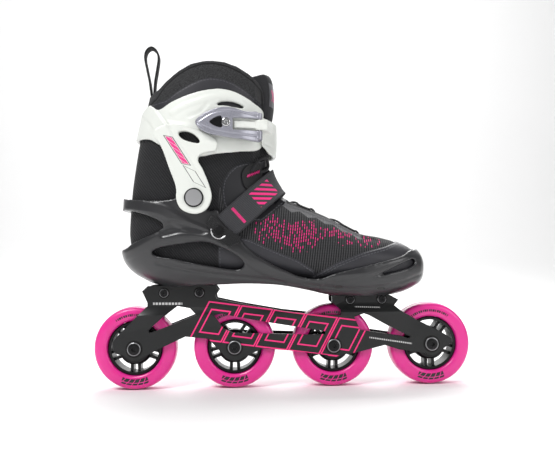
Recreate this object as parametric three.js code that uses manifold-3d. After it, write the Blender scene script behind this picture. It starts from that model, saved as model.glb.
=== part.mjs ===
// Inline skate, right foot: four wheels in a frame, a moulded base, a soft boot, a hinged cuff
// and a lever buckle. Millimetres. +X points to the toe, +Z up, and the outer side with the
// buckle is -Y. The origin lies on the ground, below the middle of the wheelbase.
import * as THREE from 'three';
import { mergeVertices } from 'three/addons/utils/BufferGeometryUtils.js';
import Module from 'manifold-3d';

const wasm = await Module();
wasm.setup();

// ---- driving dimensions ----
const wheelDiameter = 80;
const wheelWidth = 24;
const wheelGap = 16; // free space between neighbouring tyres
const wheelSides = 32; // facets round a wheel
const smallSides = 16; // facets round a hub, a bearing or a bolt
const crownWidth = 6; // flat strip round the middle of the tread
const coreRadius = 26.3; // outside of the hub, where the tyre is cast on
const hubBarrelRadius = 14.5;
const hubDiscWidth = 15;
const bearingOuter = 22;
const bearingBore = 8;
const bearingWidth = 7;
const axleHeadDiameter = 13.7;
const plateThickness = 3;
const bossHeight = 1.2; // boss between plate and bearing
const mountInset = 1.5; // how far the top of a plate steps in, where it grips the mount blocks
const rearMountX = -98;
const frontMountX = 80;
const mountScrewDiameter = 5;
const soleBoltDiameter = 6;
const bootLength = 286;
const bootWidth = 89;
const bootHeight = 224; // from the heel's sole to the top of the collar
const liningThickness = 7;
const shellWall = 4;
const cuffWall = 3.5;
const strutThickness = 3.5;
const pivotPinDiameter = 8;
const pivotHeadDiameter = 18;
const strapWidth = 26;
const strapThickness = 2.2;
const laceDiameter = 2;
const leverThickness = 4.5;
const leverPinDiameter = 3;

// ---- clearances ----
const fit = 0.3; // between pieces that seat on each other
const softFit = 0.5; // between fabric and the plastic over it
const runningGap = 0.9; // between surfaces that slide past each other

// ---- places worked out from them ----
const wheelRadius = wheelDiameter / 2;
const pitch = wheelDiameter + wheelGap;
const axleX = [-1.5, -0.5, 0.5, 1.5].map((k) => k * pitch);
const bearingFace = wheelWidth / 2; // outer faces of the bearings
const plateInside = bearingFace + fit + bossHeight;
const plateOutside = plateInside + plateThickness;
const blockHalfWidth = plateInside - mountInset - fit;
const soleZ = wheelDiameter + 21; // underside of the base at the heel

// ---- solids ----
// A closed three.js geometry becomes a solid that can be cut and joined.
function solid(geometry) {
  const bare = geometry.clone();
  bare.deleteAttribute('normal');
  bare.deleteAttribute('uv');
  const merged = mergeVertices(bare, 1e-4);
  const index = merged.index.array;
  const triangles = [];
  for (let i = 0; i < index.length; i += 3) {
    const [a, b, c] = [index[i], index[i + 1], index[i + 2]];
    if (a !== b && b !== c && c !== a) triangles.push(a, b, c);
  }
  const mesh = new wasm.Mesh({
    numProp: 3,
    vertProperties: new Float32Array(merged.attributes.position.array),
    triVerts: new Uint32Array(triangles),
  });
  return new wasm.Manifold(mesh);
}

function geometryOf(body) {
  const mesh = body.getMesh();
  const geometry = new THREE.BufferGeometry();
  geometry.setAttribute('position', new THREE.BufferAttribute(new Float32Array(mesh.vertProperties), 3));
  geometry.setIndex(new THREE.BufferAttribute(new Uint32Array(mesh.triVerts), 1));
  return geometry;
}

// An outline in the side view, carried across the skate from y0 to y1.
function prism(outline, y0, y1, curveSegments = 6) {
  const shape = outline instanceof THREE.Shape ? outline : polygon(outline);
  const geometry = new THREE.ExtrudeGeometry(shape, { depth: y1 - y0, bevelEnabled: false, curveSegments });
  geometry.rotateX(Math.PI / 2);
  geometry.translate(0, y1, 0);
  return solid(geometry);
}

// An outline in the top view, carried up from z0 to z1.
function slab(outline, z0, z1) {
  const geometry = new THREE.ExtrudeGeometry(polygon(outline), { depth: z1 - z0, bevelEnabled: false });
  geometry.translate(0, 0, z0);
  return solid(geometry);
}

function polygon(points) {
  return new THREE.Shape(points.map(([x, y]) => new THREE.Vector2(x, y)));
}

// A profile of [radius, y] points turned round a line along Y at (x, z).
function turned(profile, x, z, sides) {
  const closed = profile[0][0] > 0 && profile.at(-1)[0] > 0;
  const points = (closed ? [...profile, profile[0]] : profile).map(([r, y]) => new THREE.Vector2(r, y));
  const geometry = new THREE.LatheGeometry(points, sides, Math.PI / sides, Math.PI * 2);
  geometry.translate(x, 0, z);
  return solid(geometry);
}

// The same, round a line along Z at (x, y).
function turnedUp(profile, x, y, sides) {
  const points = profile.map(([r, z]) => new THREE.Vector2(r, z));
  const geometry = new THREE.LatheGeometry(points, sides);
  geometry.rotateX(Math.PI / 2);
  geometry.translate(x, y, 0);
  return solid(geometry);
}

function pin(radius, y0, y1, x, z, sides = 16) {
  return turned([[0, y0], [radius, y0], [radius, y1], [0, y1]], x, z, sides);
}

function box(x0, x1, y0, y1, z0, z1) {
  const geometry = new THREE.BoxGeometry(x1 - x0, y1 - y0, z1 - z0);
  geometry.translate((x0 + x1) / 2, (y0 + y1) / 2, (z0 + z1) / 2);
  return solid(geometry);
}

// ---- the skate and its finishes ----
const skate = new THREE.Group();
const finishes = {
  tyre: [0xf0188c, 0.35, 0],
  black: [0x141416, 0.5, 0],
  frame: [0x1b1b1d, 0.35, 0.6],
  steel: [0xb8b8bc, 0.3, 1],
  darkSteel: [0x2a2a2c, 0.4, 0.9],
  shell: [0x3c3c3e, 0.5, 0],
  fabric: [0x232326, 0.9, 0],
  lining: [0x1a1a1c, 0.95, 0],
  cuff: [0xebeee6, 0.4, 0],
  lever: [0xa6a6b6, 0.3, 0.2],
  rivet: [0x969698, 0.4, 0.5],
};

function add(name, body, finish) {
  const [color, roughness, metalness] = finishes[finish];
  const material = new THREE.MeshStandardMaterial({ color, roughness, metalness });
  const mesh = new THREE.Mesh(geometryOf(body), material);
  mesh.name = name;
  skate.add(mesh);
}

// ---- wheels ----
// Radii are to the flats of the faceted ring, so a flat lies on the ground.
const flats = 1 / Math.cos(Math.PI / wheelSides);

function tyre(x) {
  const half = wheelWidth / 2;
  const inner = coreRadius + fit;
  const side = [[wheelRadius - 2, half * 0.7], [wheelRadius - 8, half]];
  const upper = [[wheelRadius, crownWidth / 2], ...side, [inner, half - 1]];
  const lower = upper.map(([r, y]) => [r, -y]).reverse();
  const profile = [...lower, ...upper].map(([r, y]) => [r * flats, y]);
  return turned(profile, x, wheelRadius, wheelSides);
}

function hub(x) {
  const seat = bearingOuter / 2 + fit;
  const shoulder = bearingFace - bearingWidth - fit;
  const shoulderRadius = bearingOuter / 2 - 2;
  const barrel = pin(hubBarrelRadius, -bearingFace, bearingFace, x, wheelRadius, smallSides);
  const bore = turned([
    [0, -wheelWidth], [seat, -wheelWidth], [seat, -shoulder], [shoulderRadius, -shoulder],
    [shoulderRadius, shoulder], [seat, shoulder], [seat, wheelWidth], [0, wheelWidth],
  ], x, wheelRadius, smallSides);
  return hubDisc(x).add(barrel).subtract(bore);
}

function hubDisc(x) {
  const spokeCount = 5;
  let disc = pin(coreRadius, -hubDiscWidth / 2, hubDiscWidth / 2, x, wheelRadius, wheelSides);
  for (let k = 0; k < spokeCount; k += 1) {
    const middle = (k * 2 * Math.PI) / spokeCount + 0.3;
    const inner = hubBarrelRadius - 1;
    const outer = coreRadius - 4;
    const corners = [-0.42, -0.14, 0.14, 0.42].map((a) => [
      x + outer * Math.cos(middle + a), wheelRadius + outer * Math.sin(middle + a)]);
    const roots = [0.3, -0.3].map((a) => [
      x + inner * Math.cos(middle + a), wheelRadius + inner * Math.sin(middle + a)]);
    disc = disc.subtract(prism([...corners, ...roots], -hubDiscWidth, hubDiscWidth));
  }
  return disc;
}

function bearing(x, side) {
  const outerFace = side * bearingFace;
  const innerFace = side * (bearingFace - bearingWidth);
  const [y0, y1] = [Math.min(outerFace, innerFace), Math.max(outerFace, innerFace)];
  const bore = bearingBore / 2 + fit;
  return turned([[bore, y0], [bearingOuter / 2, y0], [bearingOuter / 2, y1], [bore, y1]], x, wheelRadius,
    smallSides);
}

function spacer(x) {
  const half = bearingFace - bearingWidth - fit;
  const bore = bearingBore / 2 + fit;
  return turned([[bore, -half], [bore + 1.8, -half], [bore + 1.8, half], [bore, half]], x, wheelRadius, 12);
}

function axle(x) {
  const head = axleHeadDiameter / 2;
  const seat = -plateOutside - fit;
  const bolt = turned([
    [0, seat - 2.4], [head - 2, seat - 2.4], [head, seat - 0.8], [head, seat],
    [bearingBore / 2, seat], [bearingBore / 2, plateOutside + 1.2], [0, plateOutside + 1.2],
  ], x, wheelRadius, 12);
  const socket = pin(2.4, seat - 4, seat - 0.6, x, wheelRadius, 6);
  return bolt.subtract(socket);
}

axleX.forEach((x, k) => {
  const n = k + 1;
  add(`wheel_${n}_tyre`, tyre(x), 'tyre');
  add(`wheel_${n}_hub`, hub(x), 'black');
  add(`wheel_${n}_bearing_outer_side`, bearing(x, -1), 'steel');
  add(`wheel_${n}_bearing_inner_side`, bearing(x, 1), 'steel');
  add(`wheel_${n}_bearing_spacer`, spacer(x), 'steel');
  add(`wheel_${n}_axle_bolt`, axle(x), 'darkSteel');
});

// ---- frame ----
// Side outline of a frame plate: four axle bosses joined by a beam, with two legs up to the
// mounts. Low points are set from the axles, high points from the top of the wheels.
function plateOutline() {
  const [rear, second, third, front] = axleX;
  const axleZ = wheelRadius;
  const top = wheelDiameter;
  const shape = new THREE.Shape();
  shape.moveTo(rearMountX - 33, top + 20);
  shape.lineTo(rearMountX - 38.5, top + 15);
  shape.lineTo(rearMountX - 33.5, top + 4);
  shape.lineTo(rearMountX - 33.5, top + 0.5);
  shape.lineTo(rear + 3, top - 8.5);
  shape.lineTo(rear - 16, axleZ + 12.5);
  shape.lineTo(rear - 20, axleZ + 8);
  shape.lineTo(rear - 20.5, axleZ + 1);
  shape.lineTo(rear - 17.5, axleZ - 4);
  shape.absarc(rear, axleZ, 11, Math.PI * 1.2, Math.PI * 1.65, false);
  shape.lineTo(rear + 23, axleZ - 0.6);
  shape.lineTo(rear + 40.6, axleZ + 7.4);
  shape.lineTo(rear + 49, axleZ + 11);
  shape.lineTo(second - 25, axleZ + 8.6);
  shape.absarc(second, axleZ, 12.7, Math.PI * 1.25, Math.PI * 1.7, false);
  shape.lineTo(second + 27, axleZ - 1.5);
  shape.lineTo(third - 43, axleZ - 4);
  shape.lineTo(third - 24, axleZ - 6.4);
  shape.absarc(third, axleZ, 11, Math.PI * 1.3, Math.PI * 1.7, false);
  shape.lineTo(third + 23, axleZ - 6.9);
  shape.lineTo(front - 46, axleZ - 0.3);
  shape.lineTo(front - 32, axleZ - 4.9);
  shape.absarc(front, axleZ, 11, Math.PI * 1.3, Math.PI * 1.7, false);
  shape.lineTo(front + 20, axleZ + 1.6);
  shape.lineTo(front + 20, axleZ + 5);
  shape.lineTo(front + 9, axleZ + 12);
  shape.lineTo(front - 12, top - 17.4);
  shape.lineTo(frontMountX + 35, top - 7.6);
  shape.lineTo(frontMountX + 28.3, top - 2);
  shape.lineTo(frontMountX + 32.6, top + 3.4);
  shape.lineTo(frontMountX + 24.4, top + 8);
  shape.lineTo(frontMountX - 32.8, top + 8);
  shape.lineTo(frontMountX - 32.8, top + 2.3);
  shape.lineTo(frontMountX - 24.8, top - 5.3);
  shape.lineTo(frontMountX - 24.2, top - 10.7);
  shape.lineTo(third - 24, top - 9);
  shape.lineTo(0, top - 6);
  shape.lineTo(second + 2, top + 2.7);
  shape.lineTo(rearMountX + 33, top + 7);
  shape.lineTo(rearMountX + 32.3, top + 10.7);
  shape.lineTo(rearMountX + 35.3, top + 15);
  shape.lineTo(rearMountX + 32, top + 20);
  shape.closePath();
  return shape;
}

function plateWindows() {
  const [rear, second, third, front] = axleX;
  const axleZ = wheelRadius;
  const top = wheelDiameter;
  const rearWindow = [
    [rear + 28.5, top - 9], [rear + 16, axleZ + 20], [rear + 13.5, axleZ + 17], [rear + 15, axleZ + 15],
    [rear + 20.5, axleZ + 17], [rear + 36, axleZ + 22.6], [second - 36.3, top - 8.3],
    [second - 42.5, top - 2], [rear + 41, top + 0.4],
  ];
  const middleWindow = [
    [second - 19.7, top - 9], [second - 10, axleZ + 18], [second - 1.5, axleZ + 14], [third - 24,
      axleZ + 11],
    [third - 8, axleZ + 11.2], [third - 8, axleZ + 14], [third - 24, axleZ + 16.8], [second + 33,
      top - 16.6],
    [second, top - 10.2], [second - 12.3, top - 7.4],
  ];
  const frontWindow = [
    [third + 20.5, top - 12.6], [third + 26, axleZ + 14.7], [third + 36, axleZ + 13.2], [front - 31,
      axleZ + 8.6],
    [front - 23, axleZ + 5.8], [front - 20, axleZ + 7], [front - 32, axleZ + 13], [front - 40,
      axleZ + 17.6],
    [third + 37, top - 11.9], [third + 30, top - 9.4],
  ];
  return [rearWindow, middleWindow, frontWindow];
}

// Section of a plate across the skate, for the side that side = -1 or 1 picks.
function plateSection(side) {
  const top = wheelDiameter + 22;
  const bend = [[0, 0], [wheelDiameter - 12, 0], [wheelDiameter - 8, mountInset], [wheelDiameter - 1,
    -mountInset]];
  const faces = [...bend, [top, -mountInset]];
  const outer = faces.map(([z, shift]) => [side * (plateOutside + shift), z]);
  const inner = faces.map(([z, shift]) => [side * (plateInside + shift), z]).reverse();
  const shape = polygon([...outer, ...inner]);
  const length = axleX[3] - axleX[0] + wheelDiameter;
  const geometry = new THREE.ExtrudeGeometry(shape, { depth: length, bevelEnabled: false });
  geometry.applyMatrix4(new THREE.Matrix4().makeBasis(
    new THREE.Vector3(0, 1, 0), new THREE.Vector3(0, 0, 1), new THREE.Vector3(1, 0, 0)));
  geometry.translate(-length / 2, 0, 0);
  return solid(geometry);
}

const mountScrewX = [rearMountX - 17.5, rearMountX + 16.5, frontMountX - 15, frontMountX + 16];
const mountScrewZ = [wheelDiameter + 13, wheelDiameter + 13, wheelDiameter + 4.2, wheelDiameter + 4.2];
const clampOutside = plateOutside - mountInset;

function framePlate(side) {
  let plate = prism(plateOutline(), -wheelWidth, wheelWidth, 4).intersect(plateSection(side));
  for (const window of plateWindows()) plate = plate.subtract(prism(window, -wheelWidth, wheelWidth));
  const span = (a, b) => [Math.min(side * a, side * b), Math.max(side * a, side * b)];
  for (const x of axleX) {
    plate = plate.add(pin(7, ...span(bearingFace + fit, plateInside + 1), x, wheelRadius, 12));
    plate = plate.subtract(pin(bearingBore / 2 + fit, -wheelWidth, wheelWidth, x, wheelRadius, 12));
  }
  mountScrewX.forEach((x, k) => {
    plate = plate.subtract(pin(mountScrewDiameter / 2 + fit, -wheelWidth, wheelWidth, x, mountScrewZ[k],
      10));
  });
  return plate;
}

const frontSoleZ = wheelDiameter + 8.8;
const soleBoltX = [rearMountX, frontMountX];

function mountBlock(x, halfLength, z0, z1, screws) {
  let block = prism([
    [x - halfLength, z0 + 4], [x - halfLength + 5, z0], [x + halfLength - 5, z0], [x + halfLength, z0 + 4],
    [x + halfLength, z1], [x - halfLength, z1],
  ], -blockHalfWidth, blockHalfWidth);
  for (const k of screws) {
    block = block.subtract(pin(mountScrewDiameter / 2 + fit, -wheelWidth, wheelWidth, mountScrewX[k],
      mountScrewZ[k], 10));
  }
  const bolt = soleBoltDiameter / 2 + fit;
  return block.subtract(turnedUp([[0, z0 - 1], [bolt, z0 - 1], [bolt, z1 + 1], [0, z1 + 1]], x, 0, 10));
}

function mountScrew(x, z) {
  const seat = -clampOutside - fit;
  const shaft = mountScrewDiameter / 2;
  const head = turned([
    [0, seat - 1.8], [3.2, seat - 1.8], [4.3, seat - 0.8], [4.3, seat], [shaft, seat],
    [shaft, clampOutside + 1], [0, clampOutside + 1],
  ], x, z, 12);
  return head.subtract(pin(1.6, seat - 3, seat - 0.5, x, z, 6));
}

add('outer_frame_plate', framePlate(-1), 'frame');
add('inner_frame_plate', framePlate(1), 'frame');
add('rear_mount_block', mountBlock(rearMountX, 30, wheelDiameter + 5, soleZ - fit, [0, 1]), 'black');
add('front_mount_block', mountBlock(frontMountX, 24, wheelDiameter + 0.6, frontSoleZ + 0.2, [2, 3]),
  'black');
['rear_mount_screw_1', 'rear_mount_screw_2', 'front_mount_screw_1', 'front_mount_screw_2'].forEach((name,
  k) => {
  add(name, mountScrew(mountScrewX[k], mountScrewZ[k]), 'darkSteel');
});

// ---- boot form ----
// The form is a row of closed rings from the toe back to the heel and up the leg. Each ring runs
// from a point on the front line (vamp, tongue) to one on the back line (sole, heel, calf).
// Pattern points are for a boot 286 long, 89 wide and 224 high, and are graded to the sizes above.
const patternSole = 101;
const lengthGrade = bootLength / 286;
const widthGrade = bootWidth / 89;
const heightGrade = bootHeight / 224;

function graded([x, z]) {
  return [x * lengthGrade, soleZ + (z - patternSole) * heightGrade];
}

// front point, back point, half width, squareness of the ring at the front and at the back,
// and how far the moulded base stands out at the back line
const rings = [
  [[136, 121], [135, 107], 9, 0.9, 0.7, 5],
  [[130.5, 129.5], [128, 102], 24, 0.9, 0.7, 6],
  [[118, 138], [115, 99.5], 33, 0.95, 0.65, 9],
  [[98, 144.5], [96, 98.5], 39.5, 1, 0.6, 12],
  [[75, 149.5], [71, 98.5], 43.5, 1, 0.6, 14],
  [[46, 165], [42, 100], 44, 1, 0.6, 14],
  [[21, 176.5], [10, 103.5], 41.5, 1, 0.6, 14],
  [[0, 186], [-27, 107.5], 39, 1, 0.6, 14],
  [[-7, 196], [-65, 108.5], 37.5, 1, 0.6, 14],
  [[-11, 204], [-105, 110], 37, 1, 0.65, 13],
  [[-13, 210], [-132, 116], 37.5, 0.95, 0.75, 10],
  [[-14, 215], [-145, 128], 38.5, 0.9, 0.85, 11],
  [[-14, 220], [-149.5, 146], 40, 0.9, 0.9, 9],
  [[-13, 225], [-149, 168], 41, 0.9, 0.9, 8],
  [[-12.5, 232], [-147, 192], 41.5, 0.9, 0.9, 8],
  [[-12, 242], [-143.5, 217], 42.5, 0.9, 0.9, 6],
  [[-12, 256], [-139, 243], 43.5, 0.9, 0.9, 6],
  [[-11, 271], [-134, 266], 44, 0.9, 0.9, 6],
  [[-10.5, 288], [-129.5, 288], 44, 0.9, 0.9, 6],
  [[-14, 312], [-128, 310], 43.5, 0.9, 0.9, 6],
  [[-18, 336], [-128, 336], 43, 0.9, 0.9, 6],
];
const rowsAlongForm = 24;
const pointsRoundForm = 20;

function formLine(pick) {
  const curve = new THREE.CatmullRomCurve3(rings.map((ring) => {
    const [x, z] = graded(pick(ring));
    return new THREE.Vector3(x, 0, z);
  }));
  return (t) => ({ at: curve.getPoint(t), along: curve.getTangent(t) });
}

const frontLine = formLine((ring) => ring[0]);
const backLine = formLine((ring) => ring[1]);
const widths = new THREE.CatmullRomCurve3(rings.map((r) => new THREE.Vector3(r[2] * widthGrade, r[3],
  r[4])));
const standing = new THREE.CatmullRomCurve3(rings.map((r, k) => new THREE.Vector3(k, 0, r[5])));

const power = (value, exponent) => Math.sign(value) * Math.abs(value) ** exponent;

// One ring of the form at t, from 0 at the toe to 1 at the top, moved outwards.
function formRing(t, outward, backOutward) {
  const front = frontLine(t);
  const back = backLine(t);
  const f = front.at.clone().addScaledVector(new THREE.Vector3(front.along.z, 0, -front.along.x), outward);
  const b = back.at.clone().addScaledVector(new THREE.Vector3(-back.along.z, 0, back.along.x), backOutward);
  const middle = f.clone().add(b).multiplyScalar(0.5);
  const reach = f.clone().sub(b).multiplyScalar(0.5);
  const { x: halfWidth, y: frontPower, z: backPower } = widths.getPoint(t);
  const ring = [];
  for (let k = 0; k < pointsRoundForm; k += 1) {
    const angle = ((k + 0.5) / pointsRoundForm) * Math.PI * 2;
    const exponent = Math.cos(angle) > 0 ? frontPower : backPower;
    const point = middle.clone().addScaledVector(reach, power(Math.cos(angle), exponent));
    point.y = power(Math.sin(angle), exponent) * (halfWidth + outward);
    ring.push(point);
  }
  return ring;
}

// The whole form as a solid whose surface stands outward mm off the boot.
function form(outward, standOut = false) {
  const positions = [];
  const index = [];
  for (let row = 0; row <= rowsAlongForm; row += 1) {
    const t = row / rowsAlongForm;
    const backOutward = standOut ? standing.getPoint(t).z : outward;
    for (const point of formRing(t, outward, backOutward)) positions.push(point.x, point.y, point.z);
  }
  const n = pointsRoundForm;
  for (let row = 0; row < rowsAlongForm; row += 1) {
    for (let k = 0; k < n; k += 1) {
      const [a, b] = [row * n + k, row * n + ((k + 1) % n)];
      index.push(a, b, a + n, b, b + n, a + n);
    }
  }
  const last = rowsAlongForm * n;
  for (let k = 1; k < n - 1; k += 1) {
    index.push(0, k + 1, k);
    index.push(last, last + k, last + k + 1);
  }
  const geometry = new THREE.BufferGeometry();
  geometry.setAttribute('position', new THREE.Float32BufferAttribute(positions, 3));
  geometry.setIndex(index);
  return solid(geometry);
}

const wide = 80; // past both sides of the boot
const across = (outline, y0 = -wide, y1 = wide) => prism(outline.map(graded), y0, y1);
const pivotPlace = [-83.5, 182];
const [pivotX, pivotZ] = graded(pivotPlace);
const leanReach = 8; // degrees of forward lean that the boot leaves room for
const instepSlope = 26.5; // degrees that the instep rises past the pivot

function roundPivot(radius, sides = 40) {
  return pin(radius, -wide, wide, pivotX, pivotZ, sides);
}

// ---- moulded base ----
const baseOutline = [
  [-165, 186], [-145, 182.6], [-111, 180.8], [-98, 184], [-97, 192], [-91, 198], [-79, 198], [-73, 192],
  [-72, 171.3], [-62, 171.2], [-60, 167.2], [-43, 144.8], [-31, 132.6], [-11, 119.2], [1.4, 113.2],
  [15, 107.5], [32, 105.5], [46.6, 110.3], [69.4, 115.6], [92.3, 121], [112, 126.4], [121, 131], [134, 133],
  [150, 133], [150, 104], [133, 99.5], [119, 92.5], [108, 89.4], [50, 89.4], [39.4, 90.6], [21.4, 95],
    [-5.5, 100],
  [-36.6, 101.6], [-62, 101], [-138.7, 101], [-152, 112.5], [-165, 127],
];
const heelOpening = [
  [-170, 171.5], [-150, 172.5], [-141, 171], [-121, 163.7], [-113.3, 158.6], [-112.8, 155], [-117.3, 152],
  [-143, 141], [-152, 136], [-170, 135.5],
];
const sideWindow = [
  [-124.8, 131.7], [-119, 135.5], [-89.4, 140.3], [-73.4, 141], [-61.4, 137], [-46.4, 129.7], [-37.5,
    120.6],
  [-41.5, 115.6], [-71.6, 119], [-101.5, 125.4], [-121.3, 129.3],
];
const toeSlot = [
  [77.7, 106.5], [92.1, 110.8], [115.2, 120.7], [124.4, 122.9], [125.5, 119.4], [122, 116.1], [97.8, 109.6],
  [80.6, 105.9],
];
const boltHeadRadius = 6.5;
const anchorRivet = graded([-60.5, 151.5]);
const anchorPinRadius = 2;

function base() {
  const wall = form(shellWall, true).subtract(form(fit + 0.1));
  let shell = wall.intersect(across(baseOutline));
  shell = shell.subtract(across(heelOpening)).subtract(across(sideWindow)).subtract(across(toeSlot));
  for (const side of [-1, 1]) {
    const face = side * (shellHalfWidth + 0.4);
    const [y0, y1] = [Math.min(face, face - side * 3), Math.max(face, face - side * 3)];
    shell = shell.add(pin(8.5, y0, y1, pivotX, pivotZ).subtract(form(fit + 0.1)));
  }
  shell = shell.subtract(roundPivot(pivotPinDiameter / 2 + fit, 16));
  shell = shell.subtract(pin(anchorPinRadius + fit, -wide, wide, ...anchorRivet, 10));
  for (const x of soleBoltX) {
    const hole = soleBoltDiameter / 2 + fit;
    const seat = x < 0 ? soleZ + 3 : frontSoleZ + 4;
    shell = shell.subtract(turnedUp([
      [0, seat - 12], [hole, seat - 12], [hole, seat], [boltHeadRadius + fit, seat],
      [boltHeadRadius + fit, seat + 12], [0, seat + 12],
    ], x, 0, 12));
  }
  return shell;
}

const shellHalfWidth = widths.getPoint(13.4 / (rings.length - 1)).x + shellWall;

function soleBolt(x) {
  const seat = (x < 0 ? soleZ + 3 : frontSoleZ + 4) + fit;
  const shaft = soleBoltDiameter / 2;
  return turnedUp([
    [0, seat - 16], [shaft, seat - 16], [shaft, seat], [boltHeadRadius, seat],
    [boltHeadRadius - 1, seat + 2.2], [0, seat + 2.2],
  ], x, 0, 12);
}

add('base_shell', base(), 'shell');
add('rear_sole_bolt', soleBolt(rearMountX), 'darkSteel');
add('front_sole_bolt', soleBolt(frontMountX), 'darkSteel');

// ---- soft boot ----
// The boot is one soft skin on the real skate. Its foot stays with the base, and its collar and
// tongue lean with the cuff, so it is split on a cylinder about the pivot.
const neckRadius = 70;
const collarRadius = 80;
const neckZ = 200;

function footPart() {
  const skin = form(0);
  const neck = form(-runningGap - 3).intersect(roundPivot(neckRadius * heightGrade));
  const foot = skin.intersect(across([[-170, 80], [160, 80], [160, neckZ], [-170, neckZ]]));
  const cavity = form(-liningThickness);
  return foot.add(neck).subtract(cavity);
}

function footbed() {
  const layer = across([
    [-128, 104], [-128, 122], [-65, 119.5], [-25, 118], [12, 113.5], [45, 110.5], [100, 109.5], [118,
      111], [118, 95], [45, 95],
  ]);
  return form(-liningThickness - fit).intersect(layer);
}

const collarOutline = [
  [-160, 205], [-160, 286.6], [-124.6, 286.6], [-118.9, 289], [-110.7, 296], [-98.9, 304], [-87.1, 310],
  [-75.3, 312.3], [-65.8, 312.8], [-54, 311.8], [-42.2, 308.5], [-30.4, 302.5], [-24, 297], [-24, 205],
];
const tongueOutline = [[-23.4, 205], [-23.4, 308.5], [-15.4, 308.5], [-10, 304], [0, 297], [0, 205]];

// The leg of the skin, above the collar radius and clear of the instep when the cuff leans.
function leg() {
  const wall = form(0).subtract(form(-liningThickness)).subtract(roundPivot(collarRadius * heightGrade));
  const slope = Math.tan(((instepSlope + leanReach) * Math.PI) / 180);
  const rise = (x) => [x, pivotPlace[1] + slope * (x - pivotPlace[0])];
  const keep = [[-170, 205], [-50, 205], rise(-50), rise(20), [20, 340], [-170, 340]];
  return wall.intersect(across(keep));
}

function pullLoop() {
  const outer = [
    [-129.4, 286.9], [-131, 300], [-133.6, 314], [-135.6, 328], [-133.5, 335], [-128.3, 338], [-123, 335],
    [-120.3, 328], [-121.6, 314], [-123.6, 300], [-124.8, 286.9],
  ];
  const inner = [
    [-127.3, 296], [-129.4, 306], [-131.6, 316], [-133.4, 328], [-131.8, 333.4], [-128.3, 335.8], [-124.6,
      333.4],
    [-122.4, 327.5], [-123.5, 316], [-125.2, 306],
  ];
  return across(outer, -6, 6).subtract(across(inner));
}

add('boot_foot', footPart(), 'fabric');
add('footbed', footbed(), 'lining');
const legWall = leg();
add('boot_collar', legWall.intersect(across(collarOutline)), 'fabric');
add('tongue', legWall.intersect(across(tongueOutline, -26, 26)), 'fabric');
add('pull_loop', pullLoop(), 'black');

// ---- lace ----
// A flat zigzag over the tongue, from the vamp to the top of the foot, up one side and down the
// other row by row. Each point is [t along the form, angle from the front line].
const laceRows = 9;
const laceStart = 0.2;
const laceEnd = 0.56;
const laceLift = 1.3; // a padded tongue edge holds the lace off the vamp

function laceRoute() {
  const points = [];
  const lift = laceDiameter / 2 + laceLift;
  for (let row = 0; row <= laceRows; row += 1) {
    const t = laceStart + ((laceEnd - laceStart) * row) / laceRows;
    const side = row % 2 ? 1 : -1;
    for (const share of [-0.9, -0.45, 0, 0.45, 0.9]) {
      const step = t + share * 0.012;
      points.push(onForm(step, side * share * 0.42, lift));
    }
  }
  return new THREE.CatmullRomCurve3(points);
}

// The point on the form at t and at an angle from its front line, moved outwards.
function onForm(t, angle, outward) {
  const front = frontLine(t);
  const back = backLine(t);
  const f = front.at.clone().addScaledVector(new THREE.Vector3(front.along.z, 0, -front.along.x), outward);
  const middle = f.clone().add(back.at).multiplyScalar(0.5);
  const reach = f.clone().sub(back.at).multiplyScalar(0.5);
  const { x: halfWidth, y: frontPower } = widths.getPoint(t);
  const point = middle.addScaledVector(reach, power(Math.cos(angle), frontPower));
  point.y = power(Math.sin(angle), frontPower) * (halfWidth + outward);
  return point;
}

function lace() {
  const section = new THREE.Shape();
  section.absarc(0, 0, laceDiameter / 2, 0, Math.PI * 2, false);
  const route = laceRoute();
  const geometry = new THREE.ExtrudeGeometry(section, { steps: 62, curveSegments: 4, extrudePath: route });
  return solid(geometry);
}

add('lace', lace(), 'black');

// ---- instep strap ----
// A webbing band that crosses the instep at a slope and goes down both sides to its anchor plates.
const strapSlope = (41.7 * Math.PI) / 180;
const strapInside = laceDiameter + laceLift + runningGap;

function strapBand(halfWidth, from, to) {
  const [cx, cz] = [-54.5, 158];
  const along = [Math.cos(strapSlope), Math.sin(strapSlope)];
  const corner = (s, w) => [cx + along[0] * s - along[1] * w, cz + along[1] * s + along[0] * w];
  return across([corner(from, -halfWidth), corner(to, -halfWidth), corner(to, halfWidth), corner(from,
    halfWidth)]);
}

function strap() {
  const wall = form(strapInside + strapThickness).subtract(form(strapInside));
  const outsideBase = form(shellWall + fit).intersect(across(baseOutline));
  return wall.intersect(strapBand(strapWidth / 2, -2, 130)).subtract(outsideBase);
}

const anchorOutline = [[-73, 158], [-67, 166], [-52, 153], [-41, 145.5], [-41, 140.5], [-52, 136.5], [-62,
  143]];
const anchorInside = shellWall + fit;
const anchorOutside = strapInside + strapThickness + fit + 2.2;

function anchorPlate(side) {
  const wall = form(anchorOutside).subtract(form(anchorInside));
  const overStrap = form(strapInside + strapThickness + fit)
    .intersect(strapBand(strapWidth / 2 + 0.5, -3, 130));
  const plate = wall.intersect(across(anchorOutline)).subtract(overStrap);
  const half = side < 0 ? box(-200, 200, -wide, 0, 0, 400) : box(-200, 200, 0, wide, 0, 400);
  return plate.intersect(half).subtract(pin(anchorPinRadius + fit, -wide, wide, ...anchorRivet, 10));
}

// A rivet whose head lies on the form: it goes through everything from inside to outside mm.
function formRivet([x, z], side, headRadius, shaftRadius, inside, outside) {
  const headTop = form(outside + 1.6);
  const [y0, y1] = side < 0 ? [-wide, 0] : [0, wide];
  const head = pin(headRadius, y0, y1, x, z, 12).intersect(headTop.subtract(form(outside)));
  const shaft = pin(shaftRadius, y0, y1, x, z, 10).intersect(headTop.subtract(form(inside)));
  return head.add(shaft);
}

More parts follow.
